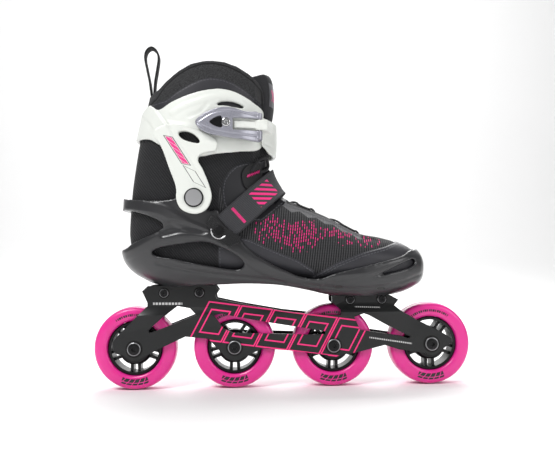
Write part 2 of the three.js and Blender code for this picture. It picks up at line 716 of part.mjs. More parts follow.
add('instep_strap', strap(), 'black');
add('strap_anchor_outer_side', anchorPlate(-1), 'black');
add('strap_anchor_inner_side', anchorPlate(1), 'black');
for (const [side, name] of [[-1, 'strap_anchor_rivet_outer_side'], [1, 'strap_anchor_rivet_inner_side']]) {
  add(name, formRivet(anchorRivet, side, 4.5, anchorPinRadius, fit + 0.3, anchorOutside + fit),
    'darkSteel');
}

// ---- hinged cuff ----
const cuffOutline = [
  [-160, 264], [-146, 263.5], [-138, 266], [-131, 270], [-126, 272], [-117, 266.7], [-104, 273], [-83.5,
    280.3],
  [-66.9, 283.7], [-54.4, 283.9], [-42, 280.7], [-26.5, 272.3], [-18.2, 266.5], [-18.3, 258], [-21, 231],
  [-42.5, 226], [-63.2, 223.4], [-80, 221], [-116, 233], [-126, 239], [-143, 241], [-160, 241],
];
const strutOutline = [
  [-121, 242], [-113, 229.7], [-106.2, 210], [-99.9, 191.4], [-99.6, 180], [-95.6, 171.8], [-87, 167.5],
  [-78.5, 167.5], [-71, 172.2], [-67.1, 181.9], [-68.5, 191.2], [-75.2, 208.6], [-79.6, 217], [-78, 221.4],
  [-72, 224], [-63, 226], [-63, 236], [-108, 250],
];
const cuffWindow = [
  [-97.8, 242.9], [-93.6, 244.1], [-87.9, 243.4], [-81, 239.4], [-77.1, 233], [-86.8, 234], [-94.8, 237.5],
];
const cuffSlot = [
  [-63.9, 268.6], [-58.8, 271.5], [-50.6, 272.4], [-42.4, 270.9], [-35.4, 267.1], [-44.8, 267.2], [-54.1,
    268.6],
];
const bandRivet = graded([-52, 241]);
const bandRivetRadius = 2;
const strutInside = shellHalfWidth + runningGap;
const strutOutside = strutInside + strutThickness;

function strut(side) {
  const rising = strutInside - 1.9;
  const span = (a, b) => [Math.min(side * a, side * b), Math.max(side * a, side * b)];
  const bar = across(strutOutline, ...span(rising, strutOutside));
  const pocket = pin(26, ...span(rising - 1, strutInside), pivotX, pivotZ, 24);
  return bar.subtract(pocket);
}

function cuff() {
  const wall = form(cuffWall + softFit).subtract(form(softFit));
  let body = wall.intersect(across(cuffOutline));
  body = body.add(strut(-1)).add(strut(1));
  body = body.subtract(across(cuffWindow)).subtract(across(cuffSlot));
  body = body.subtract(pin(bandRivetRadius + fit, 0, wide, ...bandRivet, 10));
  return body.subtract(form(softFit)).subtract(roundPivot(pivotPinDiameter / 2 + fit, 16));
}

function pivotRivet(side) {
  const radius = pivotHeadDiameter / 2;
  const shaft = pivotPinDiameter / 2;
  const seat = strutOutside + fit;
  const innerEnd = shellHalfWidth - shellWall + 0.6;
  const profile = [[0, innerEnd], [shaft, innerEnd], [shaft, seat], [radius, seat], [radius - 0.8,
    seat + 2], [0, seat + 2]];
  const points = profile.map(([r, y]) => [r, side * y]);
  return turned(side < 0 ? points.reverse() : points, pivotX, pivotZ, 20).subtract(form(fit));
}

add('cuff', cuff(), 'cuff');
add('cuff_pivot_rivet_outer_side', pivotRivet(-1), 'rivet');
add('cuff_pivot_rivet_inner_side', pivotRivet(1), 'rivet');

// ---- buckle ----
// A white closing band goes round the front of the cuff. On the inner side it is riveted to the
// cuff, and on the outer side it ends in a knuckle and an arm, which carry the lever.
const bandInside = softFit + cuffWall + fit;
const bandOutside = bandInside + 3.7;
const [leverAxisX] = graded([-22.5, 0]);
const leverAxisY = -45.5 * widthGrade;
const knuckleRadius = 3.2;
const [, knuckleLow] = graded([0, 244.8]);
const [, knuckleHigh] = graded([0, 254.6]);
const [, leverLow] = graded([0, 235.8]);
const [, leverHigh] = graded([0, 260.8]);

function closingBand() {
  const wall = form(bandOutside).subtract(form(bandInside));
  const front = wall.intersect(across([[-20, 233], [-16.5, 230], [-13, 226], [-8.5, 225], [20, 227], [20,
    256.5], [-7, 257], [-20, 259.5]]));
  const innerTail = wall.intersect(across([[-56, 233], [-60, 241], [-56, 249], [-19, 253], [-19, 230]], 0,
    wide));
  const shank = slab([
    [leverAxisX + 1, leverAxisY + 1], [leverAxisX + 2, leverAxisY - 3], [leverAxisX + 8, leverAxisY - 1],
    [leverAxisX + 14, leverAxisY + 20], [leverAxisX - 4, leverAxisY + 22], [leverAxisX - 2, leverAxisY + 4],
  ], knuckleLow, knuckleHigh);
  const arm = slab(armPlan(), knuckleLow + 1.5, knuckleHigh - 1.5);
  const knuckle = turnedUp([[0, knuckleLow], [knuckleRadius, knuckleLow], [knuckleRadius, knuckleHigh],
    [0, knuckleHigh]],
    leverAxisX, leverAxisY, 12);
  const block = front.add(innerTail).add(shank).add(arm).add(knuckle);
  const rivetHole = pin(bandRivetRadius + fit, 0, wide, ...bandRivet, 10);
  return block.subtract(form(bandInside)).subtract(leverPinHole()).subtract(rivetHole);
}

function armPlan() {
  return [[-46, -48.8], [-46, -52.1], [-36, -51], [-24, -46.6], [-22, -43.4], [-36, -47.8]].map(([x,
    y]) => [
    x * lengthGrade, y * widthGrade]);
}

function leverPinHole() {
  const r = leverPinDiameter / 2 + fit;
  return turnedUp([[0, 0], [r, 0], [r, 400], [0, 400]], leverAxisX, leverAxisY, 10);
}

function leverPin() {
  const r = leverPinDiameter / 2;
  return turnedUp([[0, leverLow], [r, leverLow], [r, leverHigh], [0, leverHigh]], leverAxisX, leverAxisY,
    10);
}

const leverOutline = [
  [-81.5, 252], [-75.7, 257.7], [-66.5, 262.3], [-56.1, 265.1], [-46.9, 264.6], [-35.5, 261.6], [-19,
    260.8],
  [-19, 235.8], [-40.3, 235.8], [-56.4, 238], [-70.1, 241], [-78.1, 246],
];
const leverSlot = [[-47, 244.1], [-47, 255.3], [-18, 255.3], [-18, 244.1]];

function leverPlan() {
  const outer = [[-84, -52], [-80, -54.5], [-62, -56], [-42, -54.8], [-28, -50], [-20, -45]];
  const inner = outer.map(([x, y]) => [x + (x > -30 ? -3 : 0), y + leverThickness]).reverse();
  return [...outer, ...inner].map(([x, y]) => [x * lengthGrade, y * widthGrade]);
}

function lever() {
  const bow = slab(leverPlan(), 0, 400).intersect(across(leverOutline));
  const barrel = turnedUp([[0, leverLow], [knuckleRadius, leverLow], [knuckleRadius, leverHigh], [0,
    leverHigh]],
    leverAxisX, leverAxisY, 12);
  const screwHole = pin(2.5 + fit, -wide, 0, ...leverScrewPlace, 12);
  const screwSeat = pin(4.2 + fit, -wide, -55 * widthGrade, ...leverScrewPlace, 12);
  const slot = across(leverSlot);
  return bow.add(barrel).subtract(slot).subtract(leverPinHole()).subtract(screwHole).subtract(screwSeat);
}

const leverScrewPlace = graded([-53, 251]);

function leverScrew() {
  const face = -56.3 * widthGrade;
  return turned([
    [0, face - 0.3], [3.6, face - 0.3], [4.2, face + 0.2], [4.2, face + 1], [2.5, face + 1], [2.5,
      face + 5], [0, face + 5],
  ], ...leverScrewPlace, 12).subtract(pin(1.6, face - 3, face + 1.5, ...leverScrewPlace, 6));
}

add('closing_band', closingBand(), 'cuff');
add('closing_band_rivet', formRivet(bandRivet, 1, 4.5, bandRivetRadius, softFit + fit, bandOutside + fit),
  'steel');
add('buckle_lever', lever(), 'lever');
add('buckle_lever_pin', leverPin(), 'steel');
add('buckle_lever_screw', leverScrew(), 'steel');

export default skate;
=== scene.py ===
"""Inline skate for the right foot, built up as it is put together: wheels, frame, moulded base,
soft boot, instep strap, hinged cuff, buckle and pull loop. Lengths in the code are millimetres.
"""

import math

import bpy
import numpy as np
from mathutils import Matrix, Vector


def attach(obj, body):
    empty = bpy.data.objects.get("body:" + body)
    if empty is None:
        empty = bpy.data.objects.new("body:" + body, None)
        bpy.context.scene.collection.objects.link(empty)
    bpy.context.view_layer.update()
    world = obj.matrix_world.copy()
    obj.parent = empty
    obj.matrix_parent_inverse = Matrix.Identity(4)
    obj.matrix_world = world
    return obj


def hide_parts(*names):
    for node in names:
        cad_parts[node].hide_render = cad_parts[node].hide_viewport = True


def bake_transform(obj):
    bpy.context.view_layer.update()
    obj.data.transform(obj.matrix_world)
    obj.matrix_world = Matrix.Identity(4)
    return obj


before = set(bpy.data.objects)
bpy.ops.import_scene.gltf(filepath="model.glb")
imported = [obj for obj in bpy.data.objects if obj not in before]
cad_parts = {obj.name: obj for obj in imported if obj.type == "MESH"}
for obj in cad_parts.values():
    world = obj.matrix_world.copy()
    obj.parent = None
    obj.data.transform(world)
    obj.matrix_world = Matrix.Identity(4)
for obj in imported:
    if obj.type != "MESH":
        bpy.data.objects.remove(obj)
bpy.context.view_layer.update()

# ---------------------------------------------------------------------------------------------
# Camera, floor and light. The camera stands at the outer side, a little above the axles and
# turned slightly to the toe; the floor is plain and pale, under soft studio lamps.
MM = 0.001
CAMERA_PLACE = (-33.7, -662.5, 123.3)
CAMERA_YAW, CAMERA_PITCH, CAMERA_ROLL = (math.radians(a) for a in (2.53, 2.61, -0.72))
LENS, SENSOR = 43.1, 36.0

scene = bpy.context.scene
scene.view_settings.view_transform = "Standard"


def look_axes():
    """Right, up and backward axes of the camera from its yaw, pitch and roll."""
    yaw, pitch, roll = CAMERA_YAW, CAMERA_PITCH, CAMERA_ROLL
    ahead = Vector((math.sin(yaw) * math.cos(pitch), math.cos(yaw) * math.cos(pitch), math.sin(pitch)))
    level = Vector((math.cos(yaw), -math.sin(yaw), 0))
    above = level.cross(ahead)
    right = level * math.cos(roll) + above * math.sin(roll)
    up = above * math.cos(roll) - level * math.sin(roll)
    return right, up, -ahead


camera_data = bpy.data.cameras.new("camera")
camera_data.lens = LENS
camera_data.sensor_width = SENSOR
camera_data.clip_start = 0.01
camera = bpy.data.objects.new("camera", camera_data)
camera.matrix_world = Matrix.Translation(Vector(CAMERA_PLACE) * MM) @ Matrix(look_axes()).transposed().to_4x4()
scene.collection.objects.link(camera)
scene.camera = camera


def lamp(name, place, target, size, power):
    """A square area lamp at place (m) that faces target."""
    data = bpy.data.lights.new(name, "AREA")
    data.size = size
    data.energy = power
    lamp_object = bpy.data.objects.new(name, data)
    lamp_object.location = place
    facing = Vector(target) - Vector(place)
    lamp_object.rotation_euler = facing.to_track_quat("-Z", "Y").to_euler()
    scene.collection.objects.link(lamp_object)


lamp("key_lamp", (-0.9, -1.2, 1.6), (0, 0, 0.15), 0.7, 30)
lamp("fill_lamp", (1.2, -1.2, 0.7), (0, 0, 0.15), 0.8, 7)
lamp("backdrop_lamp", (0, 0.7, 2.3), (0, 2.5, 0.5), 1.5, 45)
lamp("back_lamp", (0.2, 1.4, 1.3), (0, 0, 0.2), 1.4, 20)

world = bpy.data.worlds.new("studio")
world.use_nodes = True
world.node_tree.nodes["Background"].inputs["Color"].default_value = (1, 1, 1, 1)
world.node_tree.nodes["Background"].inputs["Strength"].default_value = 0.3
scene.world = world


def link_mesh(name, vertices_mm, faces, material=None, smooth=True):
    """A mesh object at the origin from an (n, 3) array in mm and a list or array of faces."""
    mesh = bpy.data.meshes.new(name)
    vertices = np.asarray(vertices_mm, float) * MM
    mesh.from_pydata(vertices.tolist(), [], [list(map(int, f)) for f in faces])
    mesh.update()
    mesh.shade_smooth() if smooth else mesh.shade_flat()
    made = bpy.data.objects.new(name, mesh)
    scene.collection.objects.link(made)
    if material is not None:
        mesh.materials.append(material)
    return made


def dress(piece, material):
    """Give a piece one material, dropping any slot that cutting left behind."""
    piece.data.materials.clear()
    piece.data.materials.append(material)
    piece.data.polygons.foreach_set("material_index", np.zeros(len(piece.data.polygons), np.int32))
    piece.data.update()
    return piece


floor_material = bpy.data.materials.new("floor_pale")
floor_material.use_nodes = True
floor_shader = floor_material.node_tree.nodes["Principled BSDF"]
floor_shader.inputs["Base Color"].default_value = (0.92, 0.92, 0.92, 1)
floor_shader.inputs["Roughness"].default_value = 0.8
FLOOR_HALF, FLOOR_FRONT, COVE_START, COVE_RADIUS, COVE_TOP = 7000, -2500, 1800, 900, 5000
cove = [(FLOOR_FRONT, -0.3), *[(COVE_START + COVE_RADIUS * math.sin(a), COVE_RADIUS * (1 - math.cos(a)) - 0.3)
                               for a in np.linspace(0, math.pi / 2, 25)], (COVE_START + COVE_RADIUS, COVE_TOP)]
floor = link_mesh("floor", [(x, y, z) for y, z in cove for x in (-FLOOR_HALF, FLOOR_HALF)],
                  [(2 * k, 2 * k + 1, 2 * k + 3, 2 * k + 2) for k in range(len(cove) - 1)], floor_material)


# ---------------------------------------------------------------------------------------------
# Material building. Every finish is a Principled shader of its own. Two node groups are shared:
# one gives moulded and painted surfaces their mottled tone and grain, one gives cloth its weave.
class Nodes:
    """Short calls to place and join nodes in one tree."""

    def __init__(self, tree):
        self.tree = tree

    def add(self, kind, inputs=None, **settings):
        node = self.tree.nodes.new(kind)
        for key, value in settings.items():
            setattr(node, key, value)
        for key, value in (inputs or {}).items():
            self.join(value, node.inputs[key])
        return node

    def join(self, value, socket):
        if isinstance(value, bpy.types.NodeSocket):
            self.tree.links.new(value, socket)
        elif isinstance(value, bpy.types.Node):
            self.tree.links.new(value.outputs[0], socket)
        else:
            socket.default_value = value

    def math(self, operation, a, b=0.0, c=None):
        node = self.add("ShaderNodeMath", operation=operation)
        self.join(a, node.inputs[0])
        self.join(b, node.inputs[1])
        if c is not None:
            self.join(c, node.inputs[2])
        return node.outputs[0]

    def step(self, value, low, high):
        """0 below low and 1 above high, smooth between."""
        node = self.add("ShaderNodeMapRange", {"Value": value, "From Min": low, "From Max": high},
                        interpolation_type="SMOOTHSTEP")
        return node.outputs["Result"]

    def mix(self, factor, a, b):
        node = self.add("ShaderNodeMix", data_type="RGBA")
        self.join(factor, node.inputs["Factor"])
        self.join(a, node.inputs["A"])
        self.join(b, node.inputs["B"])
        return node.outputs["Result"]

    def blend_value(self, factor, a, b):
        node = self.add("ShaderNodeMix", data_type="FLOAT")
        self.join(factor, node.inputs["Factor"])
        self.join(a, node.inputs["A"])
        self.join(b, node.inputs["B"])
        return node.outputs["Result"]

    def attribute(self, name):
        return self.add("ShaderNodeAttribute", attribute_name=name).outputs["Fac"]

    def noise(self, vector, scale, detail=2.0):
        node = self.add("ShaderNodeTexNoise", {"Vector": vector, "Scale": scale, "Detail": detail})
        return node.outputs[0]


def new_group(name, inputs, outputs):
    """An empty node group with the named sockets; returns the tree, its input and output nodes."""
    tree = bpy.data.node_groups.new(name, "ShaderNodeTree")
    for label, kind, value in inputs:
        socket = tree.interface.new_socket(label, in_out="INPUT", socket_type=kind)
        if value is not None:
            socket.default_value = value
    for label, kind in outputs:
        tree.interface.new_socket(label, in_out="OUTPUT", socket_type=kind)
    return tree, tree.nodes.new("NodeGroupInput"), tree.nodes.new("NodeGroupOutput")


def moulded_surface_group():
    """Tone, roughness and height of a moulded or painted surface, from coarse and fine noise."""
    tree, enter, leave = new_group(
        "moulded_surface",
        [("Color", "NodeSocketColor", (0.1, 0.1, 0.1, 1)), ("Roughness", "NodeSocketFloat", 0.5),
         ("Mottle", "NodeSocketFloat", 0.12), ("Grain Scale", "NodeSocketFloat", 2500.0)],
        [("Color", "NodeSocketColor"), ("Roughness", "NodeSocketFloat"), ("Height", "NodeSocketFloat")])
    n = Nodes(tree)
    place = n.add("ShaderNodeTexCoord").outputs["Object"]
    cloud = n.noise(place, 35.0, 3.0)
    grain = n.noise(place, enter.outputs["Grain Scale"], 2.0)
    tone = n.math("MULTIPLY_ADD", n.math("SUBTRACT", cloud, 0.5), enter.outputs["Mottle"], 1.0)
    colour = n.add("ShaderNodeVectorMath", operation="SCALE")
    n.join(enter.outputs["Color"], colour.inputs[0])
    n.join(tone, colour.inputs["Scale"])
    n.join(colour.outputs[0], leave.inputs["Color"])
    scuff = n.math("MULTIPLY_ADD", n.math("SUBTRACT", grain, 0.5), 0.12, enter.outputs["Roughness"])
    n.join(n.math("MULTIPLY_ADD", n.math("SUBTRACT", cloud, 0.5), 0.14, scuff), leave.inputs["Roughness"])
    n.join(grain, leave.inputs["Height"])
    return tree


def weave_group():
    """Plain weave on a UV map in mm: threads across each other, and a slow change of tone."""
    tree, enter, leave = new_group(
        "weave",
        [("Vector", "NodeSocketVector", None), ("Pitch U", "NodeSocketFloat", 1.0), ("Pitch V", "NodeSocketFloat", 1.0)],
        [("Height", "NodeSocketFloat"), ("Tone", "NodeSocketFloat")])
    n = Nodes(tree)
    apart = n.add("ShaderNodeSeparateXYZ", {"Vector": enter.outputs["Vector"]})
    u = n.math("DIVIDE", apart.outputs[0], enter.outputs["Pitch U"])
    v = n.math("DIVIDE", apart.outputs[1], enter.outputs["Pitch V"])
    wave_u = n.math("SINE", n.math("MULTIPLY", u, math.tau))
    wave_v = n.math("SINE", n.math("MULTIPLY", v, math.tau))
    height = n.math("MULTIPLY_ADD", n.math("MULTIPLY", wave_u, wave_v), 0.5, 0.5)
    cloud = n.noise(n.add("ShaderNodeTexCoord").outputs["Object"], 60.0, 4.0)
    fuzz = n.noise(n.add("ShaderNodeTexCoord").outputs["Object"], 1800.0, 1.0)
    n.join(n.math("MULTIPLY_ADD", fuzz, 0.4, height), leave.inputs["Height"])
    tone = n.math("MULTIPLY_ADD", height, 0.5, n.math("MULTIPLY_ADD", cloud, 0.5, 0.5))
    n.join(tone, leave.inputs["Tone"])
    return tree


MOULDED = moulded_surface_group()
WEAVE = weave_group()


def shader_material(name, **constants):
    """A material whose Principled shader has these constants; returns it with its Nodes."""
    material = bpy.data.materials.new(name)
    material.use_nodes = True
    shader = material.node_tree.nodes["Principled BSDF"]
    for label, value in constants.items():
        shader.inputs[label.replace("_", " ")].default_value = value
    return material, Nodes(material.node_tree), shader


def bump(n, height, distance_mm, strength=1.0):
    node = n.add("ShaderNodeBump", {"Height": height, "Distance": distance_mm * MM, "Strength": strength})
    return node.outputs["Normal"]


def moulded(name, colour, roughness, mottle=0.12, grain=2500.0, grain_mm=0.02, **constants):
    """A plastic, paint or metal finish over the moulded_surface group."""
    material, n, shader = shader_material(name, **constants)
    group = n.add("ShaderNodeGroup", node_tree=MOULDED)
    group.inputs["Color"].default_value = (*colour, 1)
    group.inputs["Roughness"].default_value = roughness
    group.inputs["Mottle"].default_value = mottle
    group.inputs["Grain Scale"].default_value = grain
    n.join(group.outputs["Color"], shader.inputs["Base Color"])
    n.join(group.outputs["Roughness"], shader.inputs["Roughness"])
    n.join(bump(n, group.outputs["Height"], grain_mm), shader.inputs["Normal"])
    return material


def woven(name, colour, pitch=(1.0, 1.0), height_mm=0.15, roughness=0.9, **constants):
    """A cloth finish over the weave group, on the piece's own UV map in mm."""
    material, n, shader = shader_material(name, Roughness=roughness, **constants)
    uv = n.add("ShaderNodeUVMap", uv_map="cloth")
    group = n.add("ShaderNodeGroup", {"Vector": uv}, node_tree=WEAVE)
    group.inputs["Pitch U"].default_value = pitch[0]
    group.inputs["Pitch V"].default_value = pitch[1]
    colour_node = n.add("ShaderNodeVectorMath", operation="SCALE")
    colour_node.inputs[0].default_value = colour
    n.join(group.outputs["Tone"], colour_node.inputs["Scale"])
    n.join(colour_node.outputs[0], shader.inputs["Base Color"])
    n.join(bump(n, group.outputs["Height"], height_mm), shader.inputs["Normal"])
    return material


# ---------------------------------------------------------------------------------------------
# Wheels. A cast polyurethane tyre on a black nylon hub with five pairs of spokes; two 608
# bearings press into the hub from its sides, and a button-head axle bolt clamps them.
WHEEL_RADIUS = 40.0
WHEEL_WIDTH = 24.0
AXLE_X = [-144.0, -48.0, 48.0, 144.0]
HUB_RADIUS = 26.3
BARREL_RADIUS = 14.5
ROUND_STEPS = 128

PINK = (0.72, 0.020, 0.27)


def ring_faces(rows, columns, close_rows=True, close_columns=True):
    """Quads of a grid whose vertices run row by row; either way can close on itself."""
    i = np.arange(rows if close_rows else rows - 1)[:, None]
    j = np.arange(columns if close_columns else columns - 1)[None, :]
    i2, j2 = (i + 1) % rows, (j + 1) % columns
    return np.stack([i * columns + j, i * columns + j2, i2 * columns + j2, i2 * columns + j], -1).reshape(-1, 4)


def turned_mesh(profile, x, z, steps=ROUND_STEPS):
    """A closed (radius, y) profile turned round the line along Y at (x, z): each profile point
    goes round a circle of its radius. Returns vertices (mm) and faces."""
    profile = np.asarray(profile, float)
    angle = np.linspace(0, math.tau, steps, endpoint=False)
    radius, y = profile[:, 0][None, :], profile[:, 1][None, :]
    px = x + radius * np.sin(angle)[:, None]
    pz = z + radius * np.cos(angle)[:, None]
    points = np.stack([px, np.broadcast_to(y, px.shape), pz], -1).reshape(-1, 3)
    return points, ring_faces(steps, len(profile))


def arc(cx, cy, radius, start, end, count):
    """Points of an arc in degrees, both ends included."""
    angle = np.radians(np.linspace(start, end, count))
    return np.stack([cx + radius * np.cos(angle), cy + radius * np.sin(angle)], -1)


def out(piece):
    """Turn a closed mesh's faces outwards."""
    import bmesh
    work = bmesh.new()
    work.from_mesh(piece.data)
    bmesh.ops.recalc_face_normals(work, faces=work.faces)
    work.to_mesh(piece.data)
    work.free()
    piece.data.update()
    return piece


def join_meshes(name, parts, material=None):
    """One object from several (vertices, faces) pairs."""
    vertices, faces, start = [], [], 0
    for points, quads in parts:
        vertices.append(np.asarray(points, float))
        faces += [[int(v) + start for v in face] for face in quads]
        start += len(points)
    return out(link_mesh(name, np.concatenate(vertices), faces, material))


def extruded(outline, y0, y1):
    """A closed (x, z) outline carried from y0 to y1, with its two ends closed by one face each."""
    outline = np.asarray(outline, float)
    count = len(outline)
    front = np.stack([outline[:, 0], np.full(count, y0), outline[:, 1]], -1)
    back = front.copy()
    back[:, 1] = y1
    sides = [(i, (i + 1) % count, count + (i + 1) % count, count + i) for i in range(count)]
    return np.concatenate([front, back]), [tuple(range(count))[::-1], tuple(range(count, 2 * count)), *sides]


def soften(piece, width_mm, segments=2, angle=35):
    """A small rounding on a piece's edges, as every moulded or machined edge has."""
    bevel = piece.modifiers.new("edge", "BEVEL")
    bevel.width = width_mm * MM
    bevel.segments = segments
    bevel.limit_method = "ANGLE"
    bevel.angle_limit = math.radians(angle)
    bevel.harden_normals = False
    return piece


def sharp_smooth(piece, angle=40):
    """Smooth shading that keeps edges steeper than angle."""
    piece.data.shade_smooth()
    piece.data.set_sharp_from_angle(angle=math.radians(angle))
    return piece


def tyre_material():
    """Translucent pink polyurethane. Dark generic marks follow the side wall: slanted bars at the
    bottom and a row of fine dashes at the top. UV: turn in degrees from the bottom, radius."""
    material, n, shader = shader_material(
        "tyre_polyurethane", Subsurface_Weight=0.35, Subsurface_Radius=(0.012, 0.002, 0.006),
        Coat_Weight=0.25, Coat_Roughness=0.2)
    shader.inputs["Subsurface Scale"].default_value = 0.4
    group = n.add("ShaderNodeGroup", node_tree=MOULDED)
    group.inputs["Color"].default_value = (*PINK, 1)
    group.inputs["Roughness"].default_value = 0.32
    group.inputs["Mottle"].default_value = 0.1
    apart = n.add("ShaderNodeSeparateXYZ", {"Vector": n.add("ShaderNodeUVMap", uv_map="cloth")})
    turn, radius = apart.outputs[0], apart.outputs[1]
    slanted = n.math("MULTIPLY_ADD", radius, 1.2, turn)
    from_bottom = n.math("ABSOLUTE", turn)
    bars = n.step(n.math("PINGPONG", slanted, 4.6), 0.75, 0.85)
    split = n.step(n.math("ABSOLUTE", n.math("SUBTRACT", radius, 33.2)), 0.3, 0.4)
    band = n.math("MULTIPLY", n.step(radius, 29.4, 29.5), n.math("SUBTRACT", 1.0, n.step(radius, 35.2, 35.3)))
    lower = n.math("SUBTRACT", 1.0, n.step(from_bottom, 23.0, 23.2))
    big = n.math("MULTIPLY", n.math("MULTIPLY", bars, split), n.math("MULTIPLY", band, lower))
    dashes = n.step(n.math("PINGPONG", n.math("ADD", turn, n.math("MULTIPLY", n.math("SINE", turn), 0.5)), 1.9), 0.5, 0.6)
    fine_band = n.math("MULTIPLY", n.step(radius, 31.0, 31.1), n.math("SUBTRACT", 1.0, n.step(radius, 33.3, 33.4)))
    upper = n.step(from_bottom, 146.0, 146.2)
    fine = n.math("MULTIPLY", dashes, n.math("MULTIPLY", fine_band, upper))
    ink = n.math("MAXIMUM", big, fine)
    n.join(n.mix(ink, group.outputs["Color"], (0.012, 0.01, 0.012, 1)), shader.inputs["Base Color"])
    n.join(group.outputs["Roughness"], shader.inputs["Roughness"])
    n.join(bump(n, group.outputs["Height"], 0.015), shader.inputs["Normal"])
    return material


TYRE = tyre_material()
HUB = moulded("hub_nylon", (0.005, 0.005, 0.006), 0.3, mottle=0.3, Specular_IOR_Level=0.3)
SHIELD = moulded("bearing_shield", (0.36, 0.36, 0.38), 0.3, Metallic=0.9)
RACE = moulded("bearing_race", (0.6, 0.6, 0.62), 0.22, Metallic=1.0)


def bolt_material():
    """Blackened steel, with a painted highlight: a lighter ring round the edge of the head. UV: share of the
    head's radius, place along the axis."""
    material, n, shader = shader_material("bolt_black_steel", Metallic=0.7)
    group = n.add("ShaderNodeGroup", node_tree=MOULDED)
    group.inputs["Color"].default_value = (0.014, 0.014, 0.015, 1)
    group.inputs["Roughness"].default_value = 0.34
    group.inputs["Mottle"].default_value = 0.3
    share = n.add("ShaderNodeSeparateXYZ", {"Vector": n.add("ShaderNodeUVMap", uv_map="cloth")}).outputs[0]
    # Painted highlight: a lighter ring at 0.78 to 0.96 of the head's radius stands in for the light caught by the
    # head's rounded edge.
    edge = n.math("MULTIPLY", n.step(share, 0.78, 0.86), n.math("SUBTRACT", 1.0, n.step(share, 0.9, 0.96)))
    n.join(n.mix(edge, group.outputs["Color"], (0.28, 0.28, 0.29, 1)), shader.inputs["Base Color"])
    n.join(group.outputs["Roughness"], shader.inputs["Roughness"])
    n.join(bump(n, group.outputs["Height"], 0.02), shader.inputs["Normal"])
    return material


BOLT = bolt_material()


def tyre(number, x):
    """Tyre profile: a crown arc, two shoulder arcs and side walls that curve in to the hub."""
    half = WHEEL_WIDTH / 2
    crown = np.linspace(-1, 1, 25)
    wall_side = np.sign(crown)
    shape = np.abs(crown)
    radius = WHEEL_RADIUS - 8.6 * (1 - np.sqrt(np.clip(1 - shape ** 2.6, 0, 1)))
    y = half * np.sin(shape * math.pi / 2) ** 0.92 * wall_side
    outside = np.stack([radius, y], -1)
    down = [(30.5, half), (28.6, half - 0.25), (27.2, half - 0.8), (26.5, half - 1.6)]
    left = [(r, -v) for r, v in down[::-1]]
    profile = np.array([*left, *outside.tolist(), *down])
    points, faces = turned_mesh(profile, x, WHEEL_RADIUS)
    made = link_mesh(f"tyre_{number}", points, faces, TYRE)
    uv_from(made, lambda c: np.stack([np.degrees(np.arctan2(c[:, 0] - x, -(c[:, 2] - WHEEL_RADIUS))),
                                      np.hypot(c[:, 0] - x, c[:, 2] - WHEEL_RADIUS)], -1), wrap=360.0)
    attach(out(made), f"wheel_{number}")
    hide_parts(f"wheel_{number}_tyre")


def uv_from(piece, rule, wrap=None):
    """UV map named cloth from each corner's place in mm. With wrap, the corners of a face that
    crosses the seam are kept on one side of it."""
    mesh = piece.data
    where = np.empty(len(mesh.vertices) * 3)
    mesh.vertices.foreach_get("co", where)
    values = rule(where.reshape(-1, 3) / MM)
    corner = np.empty(len(mesh.loops), int)
    mesh.loops.foreach_get("vertex_index", corner)
    uv = values[corner]
    if wrap:
        starts = np.empty(len(mesh.polygons), int)
        totals = np.empty(len(mesh.polygons), int)
        mesh.polygons.foreach_get("loop_start", starts)
        mesh.polygons.foreach_get("loop_total", totals)
        first = np.repeat(uv[starts, 0], totals)
        order = np.argsort(np.repeat(starts, totals), kind="stable")
        jump = np.zeros(len(uv))
        jump[order] = np.round((first - uv[:, 0]) / wrap)[order] * wrap
        uv[:, 0] += jump
    layer = mesh.uv_layers.get("cloth") or mesh.uv_layers.new(name="cloth")
    layer.data.foreach_set("uv", uv.astype(np.float32).ravel())


def hub_disc_outline(x):
    """Windows of the hub: one wide window and one narrow slot, five times round."""
    windows = []
    for k in range(5):
        middle = k * 72.0 + 18.0
        inner, outer = BARREL_RADIUS + 0.6, HUB_RADIUS - 3.3
        for centre, spread in ((middle, 23.5), (middle + 36.0, 5.4)):
            spread_in = spread * 0.78 if spread > 10 else spread * 1.25
            rim = arc(0, 0, outer, centre + spread, centre - spread, 9)
            root = arc(0, 0, inner + (1.2 if spread > 10 else 0.4), centre - spread_in, centre + spread_in, 7)
            windows.append(np.concatenate([rim, root]) + (x, WHEEL_RADIUS))
    return windows


def boolean(piece, cutters, operation="DIFFERENCE"):
    """Cut or join solids with the Manifold solver and apply it at once."""
    for cutter in cutters:
        step = piece.modifiers.new("cut", "BOOLEAN")
        step.operation = operation
        step.solver = "MANIFOLD"
        step.object = cutter
    apply_modifiers(piece)
    for cutter in cutters:
        bpy.data.objects.remove(cutter, do_unlink=True)
    return piece


def apply_modifiers(piece):
    """Bake the modifiers of a piece into its mesh."""
    graph = bpy.context.evaluated_depsgraph_get()
    graph.update()
    done = bpy.data.meshes.new_from_object(piece.evaluated_get(graph), preserve_all_data_layers=True, depsgraph=graph)
    piece.modifiers.clear()
    piece.data = done
    return piece


def hub(number, x):
    """The hub: a disc with a thick rim and windows, and a barrel that holds the bearings."""
    rim = [(HUB_RADIUS, -8.5), (HUB_RADIUS, 8.5), (HUB_RADIUS - 1.2, 9.6), (HUB_RADIUS - 3.4, 9.2), (HUB_RADIUS - 4.4, 6.5),
           (BARREL_RADIUS + 1.5, 6.5), (BARREL_RADIUS, 11.2), (BARREL_RADIUS - 0.7, 12.0), (11.3, 12.0), (11.3, 5.2),
           (9.2, 5.2), (9.2, 0.0)]
    profile = [*rim, *[(r, -y) for r, y in rim[::-1][1:]]]
    points, faces = turned_mesh(profile[::-1], x, WHEEL_RADIUS, 96)
    made = out(link_mesh(f"hub_{number}", points, faces, HUB))
    cutters = []
    for k, window in enumerate(hub_disc_outline(x)):
        cutters.append(out(link_mesh(f"window_{k}", *extruded(window, -20, 20))))
    boolean(made, cutters)
    sharp_smooth(soften(made, 0.5), 40)
    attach(made, f"wheel_{number}")
    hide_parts(f"wheel_{number}_hub")


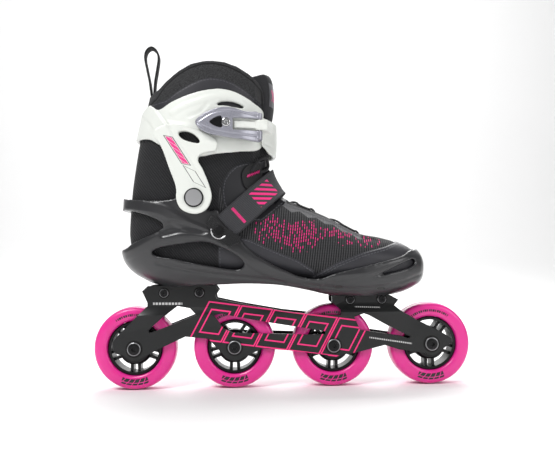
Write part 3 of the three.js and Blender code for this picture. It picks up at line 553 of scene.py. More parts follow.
def bearing(number, x, side, name):
    """A shielded 608 bearing: outer race, dished shield with a raised ring, inner race."""
    face, back = side * 12.0, side * 5.0
    race = [(11.0, back), (11.0, face - side * 0.3), (10.7, face), (9.6, face), (9.5, face - side * 0.5),
            (8.2, face - side * 0.8), (7.6, face - side * 0.45), (6.9, face - side * 0.8), (6.3, face - side * 0.5),
            (6.2, face), (4.6, face), (4.3, face - side * 0.3), (4.3, back)]
    points, faces = turned_mesh(race, x, WHEEL_RADIUS, 64)
    made = out(link_mesh(f"bearing_{number}_{name}", points, faces, SHIELD))
    sharp_smooth(made, 30)
    made.data.materials.append(RACE)
    for polygon in made.data.polygons:
        radius = math.hypot(polygon.center.x - x * MM, polygon.center.z - WHEEL_RADIUS * MM) / MM
        polygon.material_index = 1 if radius > 9.55 or radius < 6.25 else 0
    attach(made, f"wheel_{number}")
    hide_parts(f"wheel_{number}_bearing_{name}")


def socket_bolt(name, x, z, seat, end, head_radius, head_height, shaft, socket, node, material=None):
    """A button-head bolt along Y with a hex socket: a turned profile with the socket cut in."""
    top = seat - head_height
    dome = [(head_radius * math.cos(a), seat - 0.35 * head_height - 0.65 * head_height * math.sin(a))
            for a in np.linspace(0, math.pi / 2 * 0.72, 7)]
    profile = [(0.02, end), (shaft, end), (shaft, seat), (head_radius - 0.3, seat), *dome, (socket + 0.9, top), (0.02, top)]
    points, faces = turned_mesh(profile, x, z, 64)
    made = out(link_mesh(name, points, faces, material or BOLT))
    hexagon = arc(x, z, socket, 0, 300, 6)
    boolean(made, [out(link_mesh("socket", *extruded(hexagon, top - 2, top + head_height * 0.85)))])
    sharp_smooth(made, 30)
    uv_from(made, lambda c: np.stack([np.hypot(c[:, 0] - x, c[:, 2] - z) / head_radius, c[:, 1]], -1))
    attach(made, "root")
    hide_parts(node)
    return made


PLATE_FACE = 16.5
for wheel_number, axle_x in enumerate(AXLE_X, 1):
    tyre(wheel_number, axle_x)
    hub(wheel_number, axle_x)
    bearing(wheel_number, axle_x, -1, "outer_side")
    bearing(wheel_number, axle_x, 1, "inner_side")
    socket_bolt(f"axle_bolt_{wheel_number}", axle_x, WHEEL_RADIUS, -PLATE_FACE - 0.3, PLATE_FACE + 1.2, 6.85, 2.4, 4.0,
                2.6, f"wheel_{wheel_number}_axle_bolt")
    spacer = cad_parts[f"wheel_{wheel_number}_bearing_spacer"]
    dress(spacer, RACE)


# ---------------------------------------------------------------------------------------------
# Frame. Two satin black plates of drawn aluminium with cut-out windows stand beside the wheels;
# a block across the top at each end takes the mounting screws. The axle bolts hold it together.
MOUNT_SCREWS = [(-115.5, 93), (-81.5, 93), (65, 84.2), (96, 84.2)]


def frame_material():
    """Satin black anodising. Pink outline graphics run along the plates: slanted parallelograms
    |x - a - k (h - b)| < p, |h - b| < q of a fine line, where h is the height above a line that
    falls to the toe. A painted shade disc lies round each bolt, standing in for the shade in the recess round its head,
    and rows of white dashes are small print."""
    material, n, shader = shader_material("frame_anodised", Metallic=0.15, Coat_Weight=0.25, Coat_Roughness=0.18,
                                          Specular_IOR_Level=0.35)
    group = n.add("ShaderNodeGroup", node_tree=MOULDED)
    group.inputs["Color"].default_value = (0.0055, 0.006, 0.0065, 1)
    group.inputs["Roughness"].default_value = 0.36
    group.inputs["Mottle"].default_value = 0.3
    place = n.add("ShaderNodeSeparateXYZ", {"Vector": n.add("ShaderNodeTexCoord").outputs["Object"]})
    x = n.math("MULTIPLY", place.outputs[0], 1000.0)
    y = n.math("MULTIPLY", place.outputs[1], 1000.0)
    z = n.math("MULTIPLY", place.outputs[2], 1000.0)
    falling = n.math("MULTIPLY_ADD", x, GRAPHIC_FALL, z)
    ink = None
    for centre_x, centre_z, half_x, half_z in PLATE_GRAPHICS:
        lean = n.math("MULTIPLY_ADD", n.math("SUBTRACT", falling, centre_z), GRAPHIC_SHEAR, centre_x)
        along = n.math("ABSOLUTE", n.math("SUBTRACT", x, lean))
        across = n.math("ABSOLUTE", n.math("SUBTRACT", falling, centre_z))
        edge = n.math("MAXIMUM", n.math("SUBTRACT", along, half_x), n.math("SUBTRACT", across, half_z))
        line = n.math("SUBTRACT", 1.0, n.step(n.math("ABSOLUTE", edge), 0.62, 0.76))
        ink = line if ink is None else n.math("MAXIMUM", ink, line)
    print_ink = None
    for start, end, height, slope, half, pitch in SMALL_PRINT:
        away = n.math("ABSOLUTE", n.math("SUBTRACT", n.math("MULTIPLY_ADD", n.math("SUBTRACT", x, start), -slope, z), height))
        row = n.math("SUBTRACT", 1.0, n.step(away, half - 0.1, half + 0.1))
        span = n.math("MULTIPLY", n.step(x, start, start + 0.1), n.math("SUBTRACT", 1.0, n.step(x, end, end + 0.1)))
        dash = n.step(n.math("PINGPONG", x, pitch / 2), pitch * 0.12, pitch * 0.16)
        mark = n.math("MULTIPLY", n.math("MULTIPLY", row, span), dash)
        print_ink = mark if print_ink is None else n.math("MAXIMUM", print_ink, mark)
    # Painted shade: a near-black matte disc round each bolt and screw head stands in for the shade in the recess round
    # it.
    ring = None
    for centre_x, centre_z, reach in BOLT_RECESS_SHADE:
        dx, dz = n.math("SUBTRACT", x, centre_x), n.math("SUBTRACT", z, centre_z)
        radius = n.math("SQRT", n.math("MULTIPLY_ADD", dx, dx, n.math("MULTIPLY", dz, dz)))
        disc = n.math("SUBTRACT", 1.0, n.step(radius, reach - 0.2, reach + 0.2))
        ring = disc if ring is None else n.math("MAXIMUM", ring, disc)
    facing = n.add("ShaderNodeSeparateXYZ", {"Vector": n.add("ShaderNodeTexCoord").outputs["Normal"]}).outputs[1]
    outside = n.step(n.math("MULTIPLY", facing, n.math("SIGN", y)), 0.5, 0.6)
    colour = n.mix(n.math("MULTIPLY", ring, outside), group.outputs["Color"], (0.0015, 0.0015, 0.0015, 1))
    colour = n.mix(n.math("MULTIPLY", ink, outside), colour, (0.9, 0.02, 0.2, 1))
    colour = n.mix(n.math("MULTIPLY", print_ink, outside), colour, (0.5, 0.5, 0.5, 1))
    n.join(colour, shader.inputs["Base Color"])
    n.join(n.math("MAXIMUM", group.outputs["Roughness"], n.math("MULTIPLY", ring, 0.8)), shader.inputs["Roughness"])
    n.join(bump(n, group.outputs["Height"], 0.012), shader.inputs["Normal"])
    return material


GRAPHIC_FALL, GRAPHIC_SHEAR = 0.14, 0.5
PLATE_GRAPHICS = [(-66.5, 55.5, 14.7, 18.5), (-35, 55.5, 14.7, 18.5), (-3.5, 55.5, 14.7, 18.5), (28, 55.5, 14.7, 18.5),
                  (59.5, 55.5, 14.7, 18.5), (-66.5, 55.5, 9, 11.5), (-35, 55.5, 9, 11.5), (-3.5, 55.5, 9, 11.5),
                  (28, 55.5, 9, 11.5), (59.5, 55.5, 9, 11.5)]
SMALL_PRINT = [(-126, -98, 83, -0.015, 1.1, 3.1), (69.5, 94, 77.2, -0.04, 0.6, 1.9), (83, 124.5, 47.3, -0.16, 0.7, 2.1)]
# Centre and reach (mm) of the painted recess shade round each axle bolt and mount screw.
BOLT_RECESS_SHADE = [*[(axle, WHEEL_RADIUS, 8.4) for axle in AXLE_X], *[(a, b, 5.6) for a, b in MOUNT_SCREWS]]
FRAME_PAINT = frame_material()


def carried(name, nodes, material, body="root", edge=0.6):
    """A piece whose shape is that of its CAD nodes: their merged mesh with rounded edges."""
    import bmesh
    work = bmesh.new()
    for node in nodes:
        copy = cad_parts[node].data.copy()
        copy.transform(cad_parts[node].matrix_world)
        work.from_mesh(copy)
    bmesh.ops.remove_doubles(work, verts=work.verts, dist=1e-6)
    bmesh.ops.dissolve_limit(work, angle_limit=math.radians(1), verts=work.verts, edges=work.edges)
    mesh = bpy.data.meshes.new(name)
    work.to_mesh(mesh)
    work.free()
    mesh.materials.clear()
    mesh.materials.append(material)
    made = bpy.data.objects.new(name, mesh)
    scene.collection.objects.link(made)
    if edge:
        soften(made, edge, 2, 30)
    sharp_smooth(made, 30)
    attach(made, body)
    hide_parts(*nodes)
    return made


carried("outer_plate", ["outer_frame_plate"], FRAME_PAINT, edge=0.7)
carried("inner_plate", ["inner_frame_plate"], FRAME_PAINT, edge=0.7)
BLOCK = moulded("mount_block_alloy", (0.02, 0.02, 0.022), 0.45, mottle=0.2, Metallic=0.5)
for block, screw_places in (("rear_mount_block", MOUNT_SCREWS[:2]), ("front_mount_block", MOUNT_SCREWS[2:])):
    carried(block + "_piece", [block], BLOCK, edge=0.5)
    for screw, (screw_x, screw_z) in enumerate(screw_places, 1):
        node = block.replace("block", f"screw_{screw}")
        screw_piece = carried(node + "_piece", [node], BOLT, edge=0.2)
        uv_from(screw_piece, lambda c: np.stack([np.hypot(c[:, 0] - screw_x, c[:, 2] - screw_z) / 4.6, c[:, 1]], -1))


# ---------------------------------------------------------------------------------------------
# Boot form. Base, skin, cuff and straps all follow one foot form: rings that lean from the instep
# down to the heel, each a superellipse in plan, swept by a curve through the ring sizes.
RINGS = [
    ((136, 121), (135, 107), 9, 0.9, 0.7, 5), ((130.5, 129.5), (128, 102), 24, 0.9, 0.7, 6),
    ((118, 138), (115, 99.5), 33, 0.95, 0.65, 9), ((98, 144.5), (96, 98.5), 39.5, 1, 0.6, 12),
    ((75, 149.5), (71, 98.5), 43.5, 1, 0.6, 14), ((46, 165), (42, 100), 44, 1, 0.6, 14),
    ((21, 176.5), (10, 103.5), 41.5, 1, 0.6, 14), ((0, 186), (-27, 107.5), 39, 1, 0.6, 14),
    ((-7, 196), (-65, 108.5), 37.5, 1, 0.6, 14), ((-11, 204), (-105, 110), 37, 1, 0.65, 13),
    ((-13, 210), (-132, 116), 37.5, 0.95, 0.75, 10), ((-14, 215), (-145, 128), 38.5, 0.9, 0.85, 11),
    ((-14, 220), (-149.5, 146), 40, 0.9, 0.9, 9), ((-13, 225), (-149, 168), 41, 0.9, 0.9, 8),
    ((-12.5, 232), (-147, 192), 41.5, 0.9, 0.9, 8), ((-12, 242), (-143.5, 217), 42.5, 0.9, 0.9, 6),
    ((-12, 256), (-139, 243), 43.5, 0.9, 0.9, 6), ((-11, 271), (-134, 266), 44, 0.9, 0.9, 6),
    ((-10.5, 288), (-129.5, 288), 44, 0.9, 0.9, 6), ((-14, 312), (-128, 310), 43.5, 0.9, 0.9, 6),
    ((-18, 336), (-128, 336), 43, 0.9, 0.9, 6),
]
RING_TABLE = np.array([[*a, *b, *rest] for a, b, *rest in RINGS], float)


def spline(table, t):
    """Centripetal Catmull-Rom through the rows of table: knots are sqrt of the distance between
    rows, and the Hermite tangents come from those knots. t runs 0..1 by row number."""
    rows = np.asarray(table, float)
    count = len(rows)
    place = np.clip(np.asarray(t, float), 0, 1) * (count - 1)
    index = np.minimum(place.astype(int), count - 2)
    weight = (place - index)[:, None]
    padded = np.concatenate([[2 * rows[0] - rows[1]], rows, [2 * rows[-1] - rows[-2]]])
    p0, p1, p2, p3 = (padded[index + k] for k in range(4))
    gap = lambda a, b: np.maximum(np.sqrt(np.linalg.norm(b - a, axis=1)), 1e-4)[:, None]
    d0, d1, d2 = gap(p0, p1), gap(p1, p2), gap(p2, p3)
    t1 = ((p1 - p0) / d0 - (p2 - p0) / (d0 + d1) + (p2 - p1) / d1) * d1
    t2 = ((p2 - p1) / d1 - (p3 - p1) / (d1 + d2) + (p3 - p2) / d2) * d1
    w = weight
    return (p1 + t1 * w + (3 * (p2 - p1) - 2 * t1 - t2) * w ** 2 + (2 * (p1 - p2) + t1 + t2) * w ** 3)


FINE = 801
FINE_T = np.linspace(0, 1, FINE)
FRONT_LINE = spline(RING_TABLE[:, 0:2], FINE_T)
BACK_LINE = spline(RING_TABLE[:, 2:4], FINE_T)


def unit(vectors):
    return vectors / np.maximum(np.linalg.norm(vectors, axis=-1, keepdims=True), 1e-9)


def normals_of(line, sign):
    along = unit(np.gradient(line, axis=0))
    return np.stack([along[:, 1], -along[:, 0]], -1) * sign


FRONT_NORMAL = normals_of(FRONT_LINE, 1)
BACK_NORMAL = normals_of(BACK_LINE, -1)
RING_VALUES = np.stack([np.interp(FINE_T, np.linspace(0, 1, len(RINGS)), RING_TABLE[:, k]) for k in (4, 5, 6, 7)], -1)
HALF_WIDTH = spline(np.stack([RING_TABLE[:, 4], RING_TABLE[:, 4]], -1), FINE_T)[:, 0]


def fine(column, t):
    return np.interp(np.asarray(t, float), FINE_T, column)


def ring_ends(t, outward, back_outward=None):
    """Front and back point (x, z) of the ring at t, moved outwards along the two lines' normals."""
    back = outward if back_outward is None else back_outward
    shape = np.broadcast(t, outward).shape
    t = np.broadcast_to(t, shape)
    fx = fine(FRONT_LINE[:, 0], t) + fine(FRONT_NORMAL[:, 0], t) * outward
    fz = fine(FRONT_LINE[:, 1], t) + fine(FRONT_NORMAL[:, 1], t) * outward
    bx = fine(BACK_LINE[:, 0], t) + fine(BACK_NORMAL[:, 0], t) * back
    bz = fine(BACK_LINE[:, 1], t) + fine(BACK_NORMAL[:, 1], t) * back
    return fx, fz, bx, bz


def form_points(t, phi, outward=0.0, back_outward=None):
    """Points on the form: middle + reach * sgn(cos phi) |cos phi|^e between front and back, and
    (half width + outward) * sgn(sin phi) |sin phi|^e across, e being the ring's squareness. The
    toe end closes to a point below t = 0 by shrinking the ring."""
    t, phi, outward = np.broadcast_arrays(np.asarray(t, float), np.asarray(phi, float), np.asarray(outward, float))
    fx, fz, bx, bz = ring_ends(t, outward, back_outward)
    c, s = np.cos(phi), np.sin(phi)
    e = np.where(c > 0, fine(RING_VALUES[:, 1], t), fine(RING_VALUES[:, 2], t))
    reach = np.sign(c) * np.abs(c) ** e
    side = np.sign(s) * np.abs(s) ** e
    x = (fx + bx) / 2 + (fx - bx) / 2 * reach
    z = (fz + bz) / 2 + (fz - bz) / 2 * reach
    return np.stack([x, (fine(HALF_WIDTH, t) + outward) * side, z], -1)


def form_at(x, z, outward=0.0, side=-1):
    """The point of the form seen from the side at (x, z): the ring whose front-back line passes
    there, and its half width at that share of the line. side is -1 for the outer side."""
    x, z, outward = np.broadcast_arrays(np.asarray(x, float), np.asarray(z, float), np.asarray(outward, float))
    shape, flat_x, flat_z, flat_o = x.shape, x.ravel(), z.ravel(), outward.ravel()
    grid = np.linspace(0, 1, 401)
    best_t = np.zeros(len(flat_x))
    fx, fz, bx, bz = ring_ends(grid[None, :], flat_o[:, None])
    cross = (fx - bx) * (flat_z[:, None] - bz) - (fz - bz) * (flat_x[:, None] - bx)
    turn = np.argmax((cross[:, :-1] <= 0) != (cross[:, 1:] <= 0), axis=1)
    rows = np.arange(len(flat_x))
    c0, c1 = cross[rows, turn], cross[rows, turn + 1]
    best_t = grid[turn] + (grid[1] - grid[0]) * np.clip(c0 / np.where(c0 == c1, 1, c0 - c1), 0, 1)
    fx, fz, bx, bz = ring_ends(best_t, flat_o)
    along = ((flat_x - bx) * (fx - bx) + (flat_z - bz) * (fz - bz)) / ((fx - bx) ** 2 + (fz - bz) ** 2)
    u = np.clip(2 * along - 1, -1, 1)
    e = np.where(u > 0, fine(RING_VALUES[:, 1], best_t), fine(RING_VALUES[:, 2], best_t))
    c = np.abs(u) ** (1 / e)
    y = (fine(HALF_WIDTH, best_t) + flat_o) * np.sqrt(np.clip(1 - c ** 2, 0, 1)) ** e * side
    return np.stack([flat_x, y, flat_z], -1).reshape(*shape, 3)


def smooth_path(points, closed=False, spacing=1.0):
    """An even polyline through points by a centripetal Catmull-Rom curve, about spacing apart."""
    points = np.asarray(points, float)
    if closed:
        points = np.concatenate([points[-2:], points, points[:3]])
    steps = 24
    dense = spline(points, np.linspace(0, 1, (len(points) - 1) * steps + 1))
    if closed:
        dense = dense[2 * steps:-2 * steps]
    length = np.concatenate([[0], np.cumsum(np.linalg.norm(np.diff(dense, axis=0), axis=1))])
    count = max(int(round(length[-1] / spacing)), 8)
    even = np.linspace(0, length[-1], count, endpoint=not closed)
    return np.stack([np.interp(even, length, dense[:, k]) for k in range(dense.shape[1])], -1)


def to_line(points, line, closed=False):
    """For each (x, z) point: distance to the polyline, signed (positive to its left), and the
    length along the line at the nearest place."""
    line = np.asarray(line, float)
    if closed:
        line = np.concatenate([line, line[:1]])
    start, along = line[:-1], np.diff(line, axis=0)
    size = np.maximum((along ** 2).sum(1), 1e-9)
    travelled = np.concatenate([[0], np.cumsum(np.sqrt(size))])[:-1]
    best = np.full(len(points), 1e9)
    sign = np.ones(len(points))
    where = np.zeros(len(points))
    for k in range(len(start)):
        offset = points - start[k]
        share = np.clip((offset @ along[k]) / size[k], 0, 1)
        apart = offset - share[:, None] * along[k]
        distance = (apart ** 2).sum(1)
        near = distance < best
        cross = along[k][0] * offset[:, 1] - along[k][1] * offset[:, 0]
        best[near] = distance[near]
        sign[near] = np.where(cross[near] >= 0, 1.0, -1.0)
        where[near] = (travelled[k] + share * math.sqrt(size[k]))[near]
    return np.sqrt(best) * sign, where


def inside_panel(points, outline):
    """Signed distance (mm, positive inside) to a closed side-view outline, and the length along
    it. A point is inside when a line from it crosses the outline an odd number of times."""
    line = np.asarray(outline, float)
    distance, along = to_line(points, line, closed=True)
    x, z = points[:, 0], points[:, 1]
    inside = np.zeros(len(points), bool)
    for (ax, az), (bx, bz) in zip(line, np.roll(line, -1, 0)):
        if az != bz:
            inside ^= ((az > z) != (bz > z)) & (x < (bx - ax) * (z - az) / (bz - az) + ax)
    return np.where(inside, 1.0, -1.0) * np.abs(distance), along


def smoothstep(value, low, high):
    share = np.clip((value - low) / (high - low), 0, 1)
    return share * share * (3 - 2 * share)


def store(piece, name, values):
    """A number for each vertex of a piece, for its material to read."""
    layer = piece.data.attributes.new(name, "FLOAT", "POINT")
    layer.data.foreach_set("value", np.asarray(values, np.float32))


def get_points(piece):
    where = np.empty(len(piece.data.vertices) * 3)
    piece.data.vertices.foreach_get("co", where)
    return where.reshape(-1, 3) / MM


def set_points(piece, points):
    piece.data.vertices.foreach_set("co", (np.asarray(points) * MM).ravel())
    piece.data.update()


def point_normals(piece):
    flat = np.empty(len(piece.data.vertices) * 3)
    piece.data.vertices.foreach_get("normal", flat)
    return flat.reshape(-1, 3)


def remesh(piece, voxel_mm, smooth_steps=3):
    """Rebuild a solid as an even mesh and even out the voxel steps, so edges come out rounded."""
    step = piece.modifiers.new("remesh", "REMESH")
    step.mode = "VOXEL"
    step.voxel_size = voxel_mm * MM
    if smooth_steps:
        relax = piece.modifiers.new("relax", "CORRECTIVE_SMOOTH")
        piece.modifiers.remove(relax)
        relax = piece.modifiers.new("relax", "SMOOTH")
        relax.factor = 0.5
        relax.iterations = smooth_steps
    apply_modifiers(piece)
    piece.data.shade_smooth()
    return piece


# ---------------------------------------------------------------------------------------------
# Base shell. Moulded glass-filled nylon that carries the foot: an open-topped tub with a low
# toe bumper, windows at the sides and a heel ring. Two bolts through its sole hold it to the frame.
BASE_OUTLINE = [[-165, 186], [-145, 182.6], [-111, 180.8], [-98, 184], [-97, 192], [-91, 198], [-79, 198], [-73, 192],
                [-72, 171.3], [-62, 171.2], [-60, 167.2], [-43, 144.8], [-31, 132.6], [-11, 119.2], [1.4, 113.2],
                [15, 107.5], [32, 105.5], [46.6, 110.3], [69.4, 115.6], [92.3, 121], [112, 126.4], [121, 131],
                [134, 133], [150, 133], [150, 104], [133, 99.5], [119, 92.5], [108, 89.4], [50, 89.4], [39.4, 90.6],
                [21.4, 95], [-5.5, 100], [-36.6, 101.6], [-62, 101], [-138.7, 101], [-152, 112.5], [-165, 127]]
HEEL_OPENING = [[-170, 171.5], [-150, 172.5], [-141, 171], [-121, 163.7], [-113.3, 158.6], [-112.8, 155],
                [-117.3, 152], [-143, 141], [-152, 136], [-170, 135.5]]
SIDE_WINDOW = [[-124.8, 131.7], [-119, 135.5], [-89.4, 140.3], [-73.4, 141], [-61.4, 137], [-46.4, 129.7],
               [-37.5, 120.6], [-41.5, 115.6], [-71.6, 119], [-101.5, 125.4], [-121.3, 129.3]]
TOE_SLOT = [[77.7, 106.5], [92.1, 110.8], [115.2, 120.7], [124.4, 122.9], [125.5, 119.4], [122, 116.1],
            [97.8, 109.6], [80.6, 105.9]]
SKIN_GAP = 0.35
SHELL_BACK = "back_extra"


def form_loft(name, t_from, t_to, outward, back=None, columns=160, spacing=1.6, bottom=None):
    """A closed solid of the form between two rings, offset outward. back adds to the offset on the
    back line, as an array over the rings. Below bottom (z) the points are pressed flat."""
    rows = max(int((t_to - t_from) * 420 / spacing), 12)
    t = np.linspace(t_from, t_to, rows)[:, None]
    phi = np.linspace(0, math.tau, columns, endpoint=False)[None, :]
    extra = outward if back is None else back(t)
    points = form_points(t, phi, outward, extra)
    if bottom is not None:
        points[..., 2] = np.maximum(points[..., 2], bottom(points[..., 0]))
    faces = ring_faces(rows, columns, close_rows=False).tolist()
    faces += [list(range(columns))[::-1], list(range((rows - 1) * columns, rows * columns))]
    return out(link_mesh(name, points.reshape(-1, 3), faces))


def side_cutter(name, outline, y0=-80, y1=80, closed_smooth=True, spacing=2.0):
    path = smooth_path(outline, closed=True, spacing=spacing) if closed_smooth else np.asarray(outline, float)
    return out(link_mesh(name, *extruded(path, y0, y1)))


def base_back(t):
    return fine(RING_VALUES[:, 3], t)


shell = form_loft("base_shell_piece", 0.0, 0.84, 4.25, base_back)
boolean(shell, [side_cutter("keep", BASE_OUTLINE)], "INTERSECT")
boolean(shell, [form_loft("room", 0.0, 0.9, SKIN_GAP + 0.9, lambda t: SKIN_GAP + 0.9 + 0 * t)])
boolean(shell, [side_cutter("heel_hole", HEEL_OPENING), side_cutter("window_outer", SIDE_WINDOW, -80, -20),
                side_cutter("window_inner", SIDE_WINDOW, 20, 80), side_cutter("slot", TOE_SLOT, -80, -28),
                side_cutter("slot_inner", TOE_SLOT, 28, 80)])
print("SHELL", [round(v, 1) for v in get_points(shell).min(0)], [round(v, 1) for v in get_points(shell).max(0)],
      len(shell.data.vertices))
remesh(shell, 1.25, 4)
print("SHELL remeshed", len(shell.data.polygons))


def press_ribs(piece, lines, on_side=0.25, hollows=()):
    """Raise or sink bands along side-view lines: each line has half width, edge and height in mm.
    Hollows are closed outlines with an edge and a depth. Only faces turned outwards move."""
    points, normals = get_points(piece), point_normals(piece)
    outside = smoothstep(normals[:, 1] * np.sign(points[:, 1]), on_side, on_side + 0.35)
    total = np.zeros(len(points))
    for line, half, edge, height in lines:
        distance = np.abs(to_line(points[:, [0, 2]], smooth_path(line, spacing=3.0))[0])
        total += height * (1 - smoothstep(distance, half, half + edge))
    for outline, edge, depth in hollows:
        total -= depth * smoothstep(inside_panel(points[:, [0, 2]], smooth_path(outline, True, 2.0))[0], 0, edge)
    set_points(piece, points + normals * (total * outside)[:, None])


press_ribs(shell, [
    ([[-160, 178], [-140, 177], [-112, 170], [-88, 155], [-60, 144], [-38, 128], [-10, 112], [30, 101]], 4.0, 3.0, 0.8),
    ([[-158, 128], [-138, 134], [-118, 144], [-100, 148], [-78, 147], [-58, 140]], 3.2, 3.0, 0.7),
    ([[-120, 122], [-90, 115], [-60, 110], [-30, 107], [0, 103]], 0.9, 1.2, -0.7),
    ([[20, 101], [60, 96], [100, 99], [132, 108]], 0.7, 1.2, -0.6),
    ([[48, 106], [80, 111], [112, 122], [138, 127]], 2.0, 2.0, 0.5),
], hollows=[([[-112, 158], [-104, 162.5], [-70, 150], [-76, 147], [-96, 148.5], [-116, 146]], 2.2, 1.3)])
# Ovals (centre x, z and reach x, z) where the shell's material paints the shade inside small slots.
SHELL_SLOT_SHADE = [(50, 97.6, 4.2, 1.5), (90, 95.8, 4.0, 1.4), (-154.5, 118.5, 2.6, 3.6)]


def shell_material():
    """Satin grey-black nylon. Small moulded slots at the sole's edge and heel show as dark ovals of painted shade,
    where ((x - a) / rx)^2 + ((z - b) / rz)^2 is below 1."""
    material, n, shader = shader_material("shell_nylon", Coat_Weight=0.35, Coat_Roughness=0.22)
    group = n.add("ShaderNodeGroup", node_tree=MOULDED)
    group.inputs["Color"].default_value = (0.016, 0.016, 0.018, 1)
    group.inputs["Roughness"].default_value = 0.34
    group.inputs["Mottle"].default_value = 0.22
    group.inputs["Grain Scale"].default_value = 1900.0
    place = n.add("ShaderNodeSeparateXYZ", {"Vector": n.add("ShaderNodeTexCoord").outputs["Object"]})
    x, z = n.math("MULTIPLY", place.outputs[0], 1000.0), n.math("MULTIPLY", place.outputs[2], 1000.0)
    # Painted shade: near-black ovals stand in for the shade inside the slots, which are sunk only by bump.
    slot_shade_and_dip = None
    for centre_x, centre_z, reach_x, reach_z in SHELL_SLOT_SHADE:
        dx = n.math("DIVIDE", n.math("SUBTRACT", x, centre_x), reach_x)
        dz = n.math("DIVIDE", n.math("SUBTRACT", z, centre_z), reach_z)
        away = n.math("ADD", n.math("MULTIPLY", dx, dx), n.math("MULTIPLY", dz, dz))
        oval = n.math("SUBTRACT", 1.0, n.step(away, 0.75, 1.1))
        slot_shade_and_dip = oval if slot_shade_and_dip is None else n.math("MAXIMUM", slot_shade_and_dip, oval)
    n.join(n.mix(slot_shade_and_dip, group.outputs["Color"], (0.003, 0.003, 0.003, 1)), shader.inputs["Base Color"])
    n.join(group.outputs["Roughness"], shader.inputs["Roughness"])
    height = n.math("SUBTRACT", n.math("MULTIPLY", group.outputs["Height"], 0.05), slot_shade_and_dip)
    n.join(bump(n, height, 0.6), shader.inputs["Normal"])
    return material


dress(shell, shell_material())
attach(shell, "root")
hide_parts("base_shell")
carried("rear_sole_bolt_piece", ["rear_sole_bolt"], BOLT, edge=0.3)
carried("front_sole_bolt_piece", ["front_sole_bolt"], BOLT, edge=0.3)

# ---------------------------------------------------------------------------------------------
# Footbed. A thin foam insole under a knitted cover, which lies loose on the floor of the boot.
LINING = 7.0
footbed = form_loft("footbed_piece", 0.02, 0.7, -LINING - 0.5, spacing=2.5, columns=96)
boolean(footbed, [side_cutter("layer", [[-128, 104], [-128, 122], [-65, 119.5], [-25, 118], [12, 113.5], [45, 110.5],
                                        [100, 109.5], [118, 111], [118, 95], [45, 95]], closed_smooth=False)], "INTERSECT")
remesh(footbed, 1.6, 4)
uv_from(footbed, lambda c: c[:, :2])
dress(footbed, woven("footbed_knit", (0.09, 0.09, 0.1), (1.4, 1.4), 0.25))
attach(footbed, "root")
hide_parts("footbed")

# ---------------------------------------------------------------------------------------------
# Boot. One padded upper of mesh cloth over foam: a slate toe cap, side wedge and quarter panel are
# sewn on, a ribbed vamp lies between them, and a cushioned collar is stitched on round its top.
TOP_EDGE = [[-150, 286], [-127, 286.5], [-118.9, 289], [-110.7, 295.7], [-98.9, 303.6], [-87.1, 309.5], [-75.3, 312],
            [-65.8, 312.5], [-54, 311.5], [-42.2, 308.2], [-30.4, 302.2], [-21, 295], [-16.8, 287], [-15.5, 268],
            [-14, 240], [-10, 226], [20, 222]]
TOE_CAP = [[15, 80], [15, 101], [22.9, 106.9], [32.3, 111.4], [48.7, 120.4], [72, 129.4], [95.6, 134.9], [112.2, 140.5],
           [103, 146], [103, 165], [165, 165], [165, 80]]
SIDE_WEDGE = [[-62, 151], [-32, 142.8], [-9.6, 132.4], [12.9, 123.1], [28.6, 112.8], [34, 88], [-62, 88]]
QUARTER = [[-10, 226], [-21.8, 220.2], [-28.9, 217.9], [-38.3, 216.1], [-45.4, 213.3], [-52.5, 206.2], [-56.8, 199.2],
           [-58.5, 189.8], [-57.4, 178], [-50, 160], [-20, 160], [12, 186], [2, 215]]
COLLAR_PAD = [[-160, 275], [-121.7, 274.9], [-110.1, 276.3], [-98.4, 283.8], [-86.8, 289.8], [-77.4, 293.8],
              [-68, 295.7], [-56.3, 294.5], [-46.9, 291.4], [-35.3, 285], [-25.9, 278.5], [-16.6, 271.8], [-10, 268],
              [-10, 360], [-160, 360]]
COLLAR_PIPING = [[-160, 274], [-128, 275], [-119.8, 278.7], [-110.4, 289.9], [-98.7, 298.9], [-86.9, 304.9],
                 [-75.1, 308.5], [-63.4, 308.9], [-51.6, 306.6], [-39.8, 301.8], [-28.1, 294.6], [-20, 286.9],
                 [-18.6, 274.9], [-17, 250], [-14, 230], [-5, 222], [-5, 360], [-160, 360]]
PANELS = {"toe": TOE_CAP, "wedge": SIDE_WEDGE, "quarter": QUARTER, "collar": COLLAR_PAD, "piping": COLLAR_PIPING}


SKIN_COLUMNS, SKIN_ROWS, RIM_ROWS, INSIDE_ROWS = 248, 250, 9, 70
skin_phi = np.linspace(0, math.tau, SKIN_COLUMNS, endpoint=False)


def skin_top(phi):
    """Ring place at which the boot's top edge meets each angle round the form."""
    t = np.linspace(0.55, 1, 451)
    points = form_points(t[:, None], phi[None, :])
    edge = np.asarray(TOP_EDGE, float)
    over = points[..., 2] > np.interp(points[..., 0], edge[:, 0], edge[:, 1]) - LINING / 2
    return t[np.argmax(over, axis=0)]


top_t = skin_top(skin_phi)
top_t = (top_t + np.roll(top_t, 1) + np.roll(top_t, -1)) / 3
share = np.linspace(0, 1, SKIN_ROWS)[:, None]
outer_t = share * top_t[None, :]
outer_skin = form_points(outer_t, skin_phi[None, :])
rim_angle = np.linspace(0, math.pi, RIM_ROWS + 2)[1:-1, None]
rim_skin = form_points(np.broadcast_to(top_t, (RIM_ROWS, SKIN_COLUMNS)), skin_phi[None, :],
                       -LINING / 2 * (1 - np.cos(rim_angle)) + 0 * skin_phi[None, :])
rim_skin[..., 2] += LINING / 2 * np.sin(rim_angle)
inner_t = top_t[None, :] + (0.1 - top_t[None, :]) * np.linspace(0, 1, INSIDE_ROWS)[:, None]
inner_skin = form_points(inner_t, skin_phi[None, :], -LINING)
skin_points = np.concatenate([outer_skin, rim_skin, inner_skin]).reshape(-1, 3)
skin_total = SKIN_ROWS + RIM_ROWS + INSIDE_ROWS
